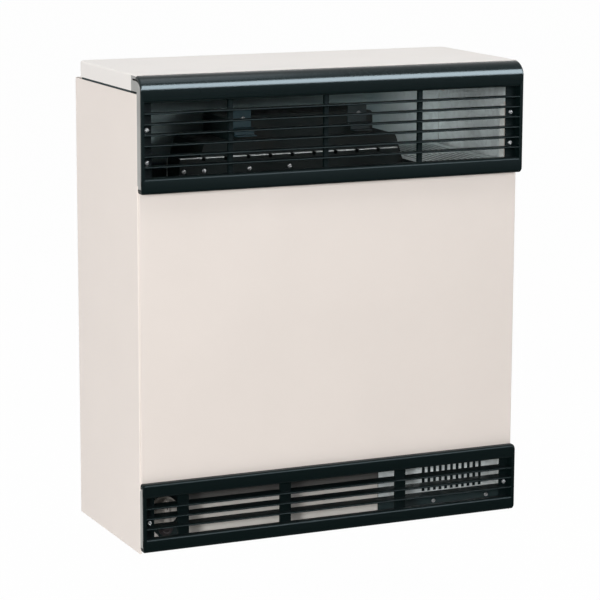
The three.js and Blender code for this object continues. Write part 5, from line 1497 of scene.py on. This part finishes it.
class HEATER_OT_grilles(Builder, bpy.types.Operator):
    """Upper and lower grilles with their end caps and screws"""

    bl_idname = "heater.grilles"
    bl_label = "Grilles"

    def execute(self, context):
        upper_grille()
        lower_grille()
        for side in ("left", "right"):
            upper_cap(side)
            lower_cap(side)
        for node in frame["nodes"]:
            if "screw" in node:
                screw(node)
        return {"FINISHED"}


class HEATER_OT_flue(Builder, bpy.types.Operator):
    """Air duct and flue duct"""

    bl_idname = "heater.flue"
    bl_label = "Flue"

    def execute(self, context):
        ducts()
        return {"FINISHED"}


class HEATER_OT_inside(Builder, bpy.types.Operator):
    """Base channel, guard angle, baffle, laps, shield edge, painted mark and ignition lead"""

    bl_idname = "heater.inside"
    bl_label = "Inner Details"

    def execute(self, context):
        base_channel()
        guard_angle()
        rear_baffle()
        for side in ("left", "right"):
            liner_lap(side)
        shield_edge()
        pointer_mark()
        ignition_lead()
        return {"FINISHED"}


class HEATER_OT_controls(Builder, bpy.types.Operator):
    """Control knob and igniter button"""

    bl_idname = "heater.controls"
    bl_label = "Controls"

    def execute(self, context):
        knob()
        button()
        return {"FINISHED"}


class HEATER_OT_studio(Builder, bpy.types.Operator):
    """Camera, lamps, floor and surroundings"""

    bl_idname = "heater.studio"
    bl_label = "Studio"

    def execute(self, context):
        settings = context.scene.heater_studio
        context.scene.view_settings.view_transform = "Standard"
        place_camera(settings)
        studio_world(settings.ambient)
        drop = CAD_BOX[0][2] - settings.floor_drop
        disc = circle((0.0, 0.0), settings.floor_radius, full_turn(96))
        mesh = bpy.data.meshes.new("floor")
        points = np.c_[disc, np.full(len(disc), drop)]
        mesh.from_pydata(points.tolist(), [], [list(range(len(disc)))])
        mesh.materials.append(floor_paint())
        floor = bpy.data.objects.new("floor", mesh)
        context.scene.collection.objects.link(floor)
        floor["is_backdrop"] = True
        middle, crown = (0.0, -0.12, -0.22), (0.0, -0.26, 0.07)
        softbox("key", (-7.8, -7.0, 1.7), middle, 2.2, 2.2, 845.0)
        softbox("side", (4.8, -0.6, 1.0), middle, 1.8, 1.8, 60.0)
        softbox("overhead", (0.0, -0.6, 2.4), middle, 2.0, 2.0, 40.0)
        strip = softbox("nose_strip", (1.26, -2.72, 1.2), crown, 1.8, 1.6, 290.0)
        strip.visible_diffuse = False
        black_card(drop)
        return {"FINISHED"}


class HEATER_PT_panel(bpy.types.Panel):
    """Lists the heater's pieces and their sizes"""

    bl_idname = "HEATER_PT_panel"
    bl_label = "Gas Heater"
    bl_space_type = "VIEW_3D"
    bl_region_type = "UI"
    bl_category = "Gas Heater"

    def draw(self, context):
        for group in ("heater_sizes", "heater_colours", "heater_studio"):
            settings = getattr(context.scene, group)
            column = self.layout.column()
            for name in settings.bl_rna.properties.keys():
                if name not in ("rna_type", "name"):
                    column.prop(settings, name)
        for operator in STEPS:
            self.layout.operator(operator.bl_idname)


STEPS = (
    HEATER_OT_studio,
    HEATER_OT_finishes,
    HEATER_OT_casing,
    HEATER_OT_grilles,
    HEATER_OT_flue,
    HEATER_OT_inside,
    HEATER_OT_controls,
)
GROUPS = {"heater_sizes": HeaterSizes, "heater_colours": HeaterColours, "heater_studio": StudioSettings}


def register():
    for cls in (*GROUPS.values(), *STEPS, HEATER_PT_panel):
        bpy.utils.register_class(cls)
    for name, group in GROUPS.items():
        setattr(bpy.types.Scene, name, PointerProperty(type=group))


def unregister():
    for name in GROUPS:
        delattr(bpy.types.Scene, name)
    for cls in reversed((*GROUPS.values(), *STEPS, HEATER_PT_panel)):
        bpy.utils.unregister_class(cls)


def main():
    """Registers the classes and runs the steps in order."""
    register()
    for step in STEPS:
        family, name = step.bl_idname.split(".")
        getattr(getattr(bpy.ops, family), name)()
    boxes = {"cad": CAD_BOX, "visual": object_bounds()}
    plain = {key: [list(corner) for corner in corners] for key, corners in boxes.items()}


if __name__ == "__main__":
    main()
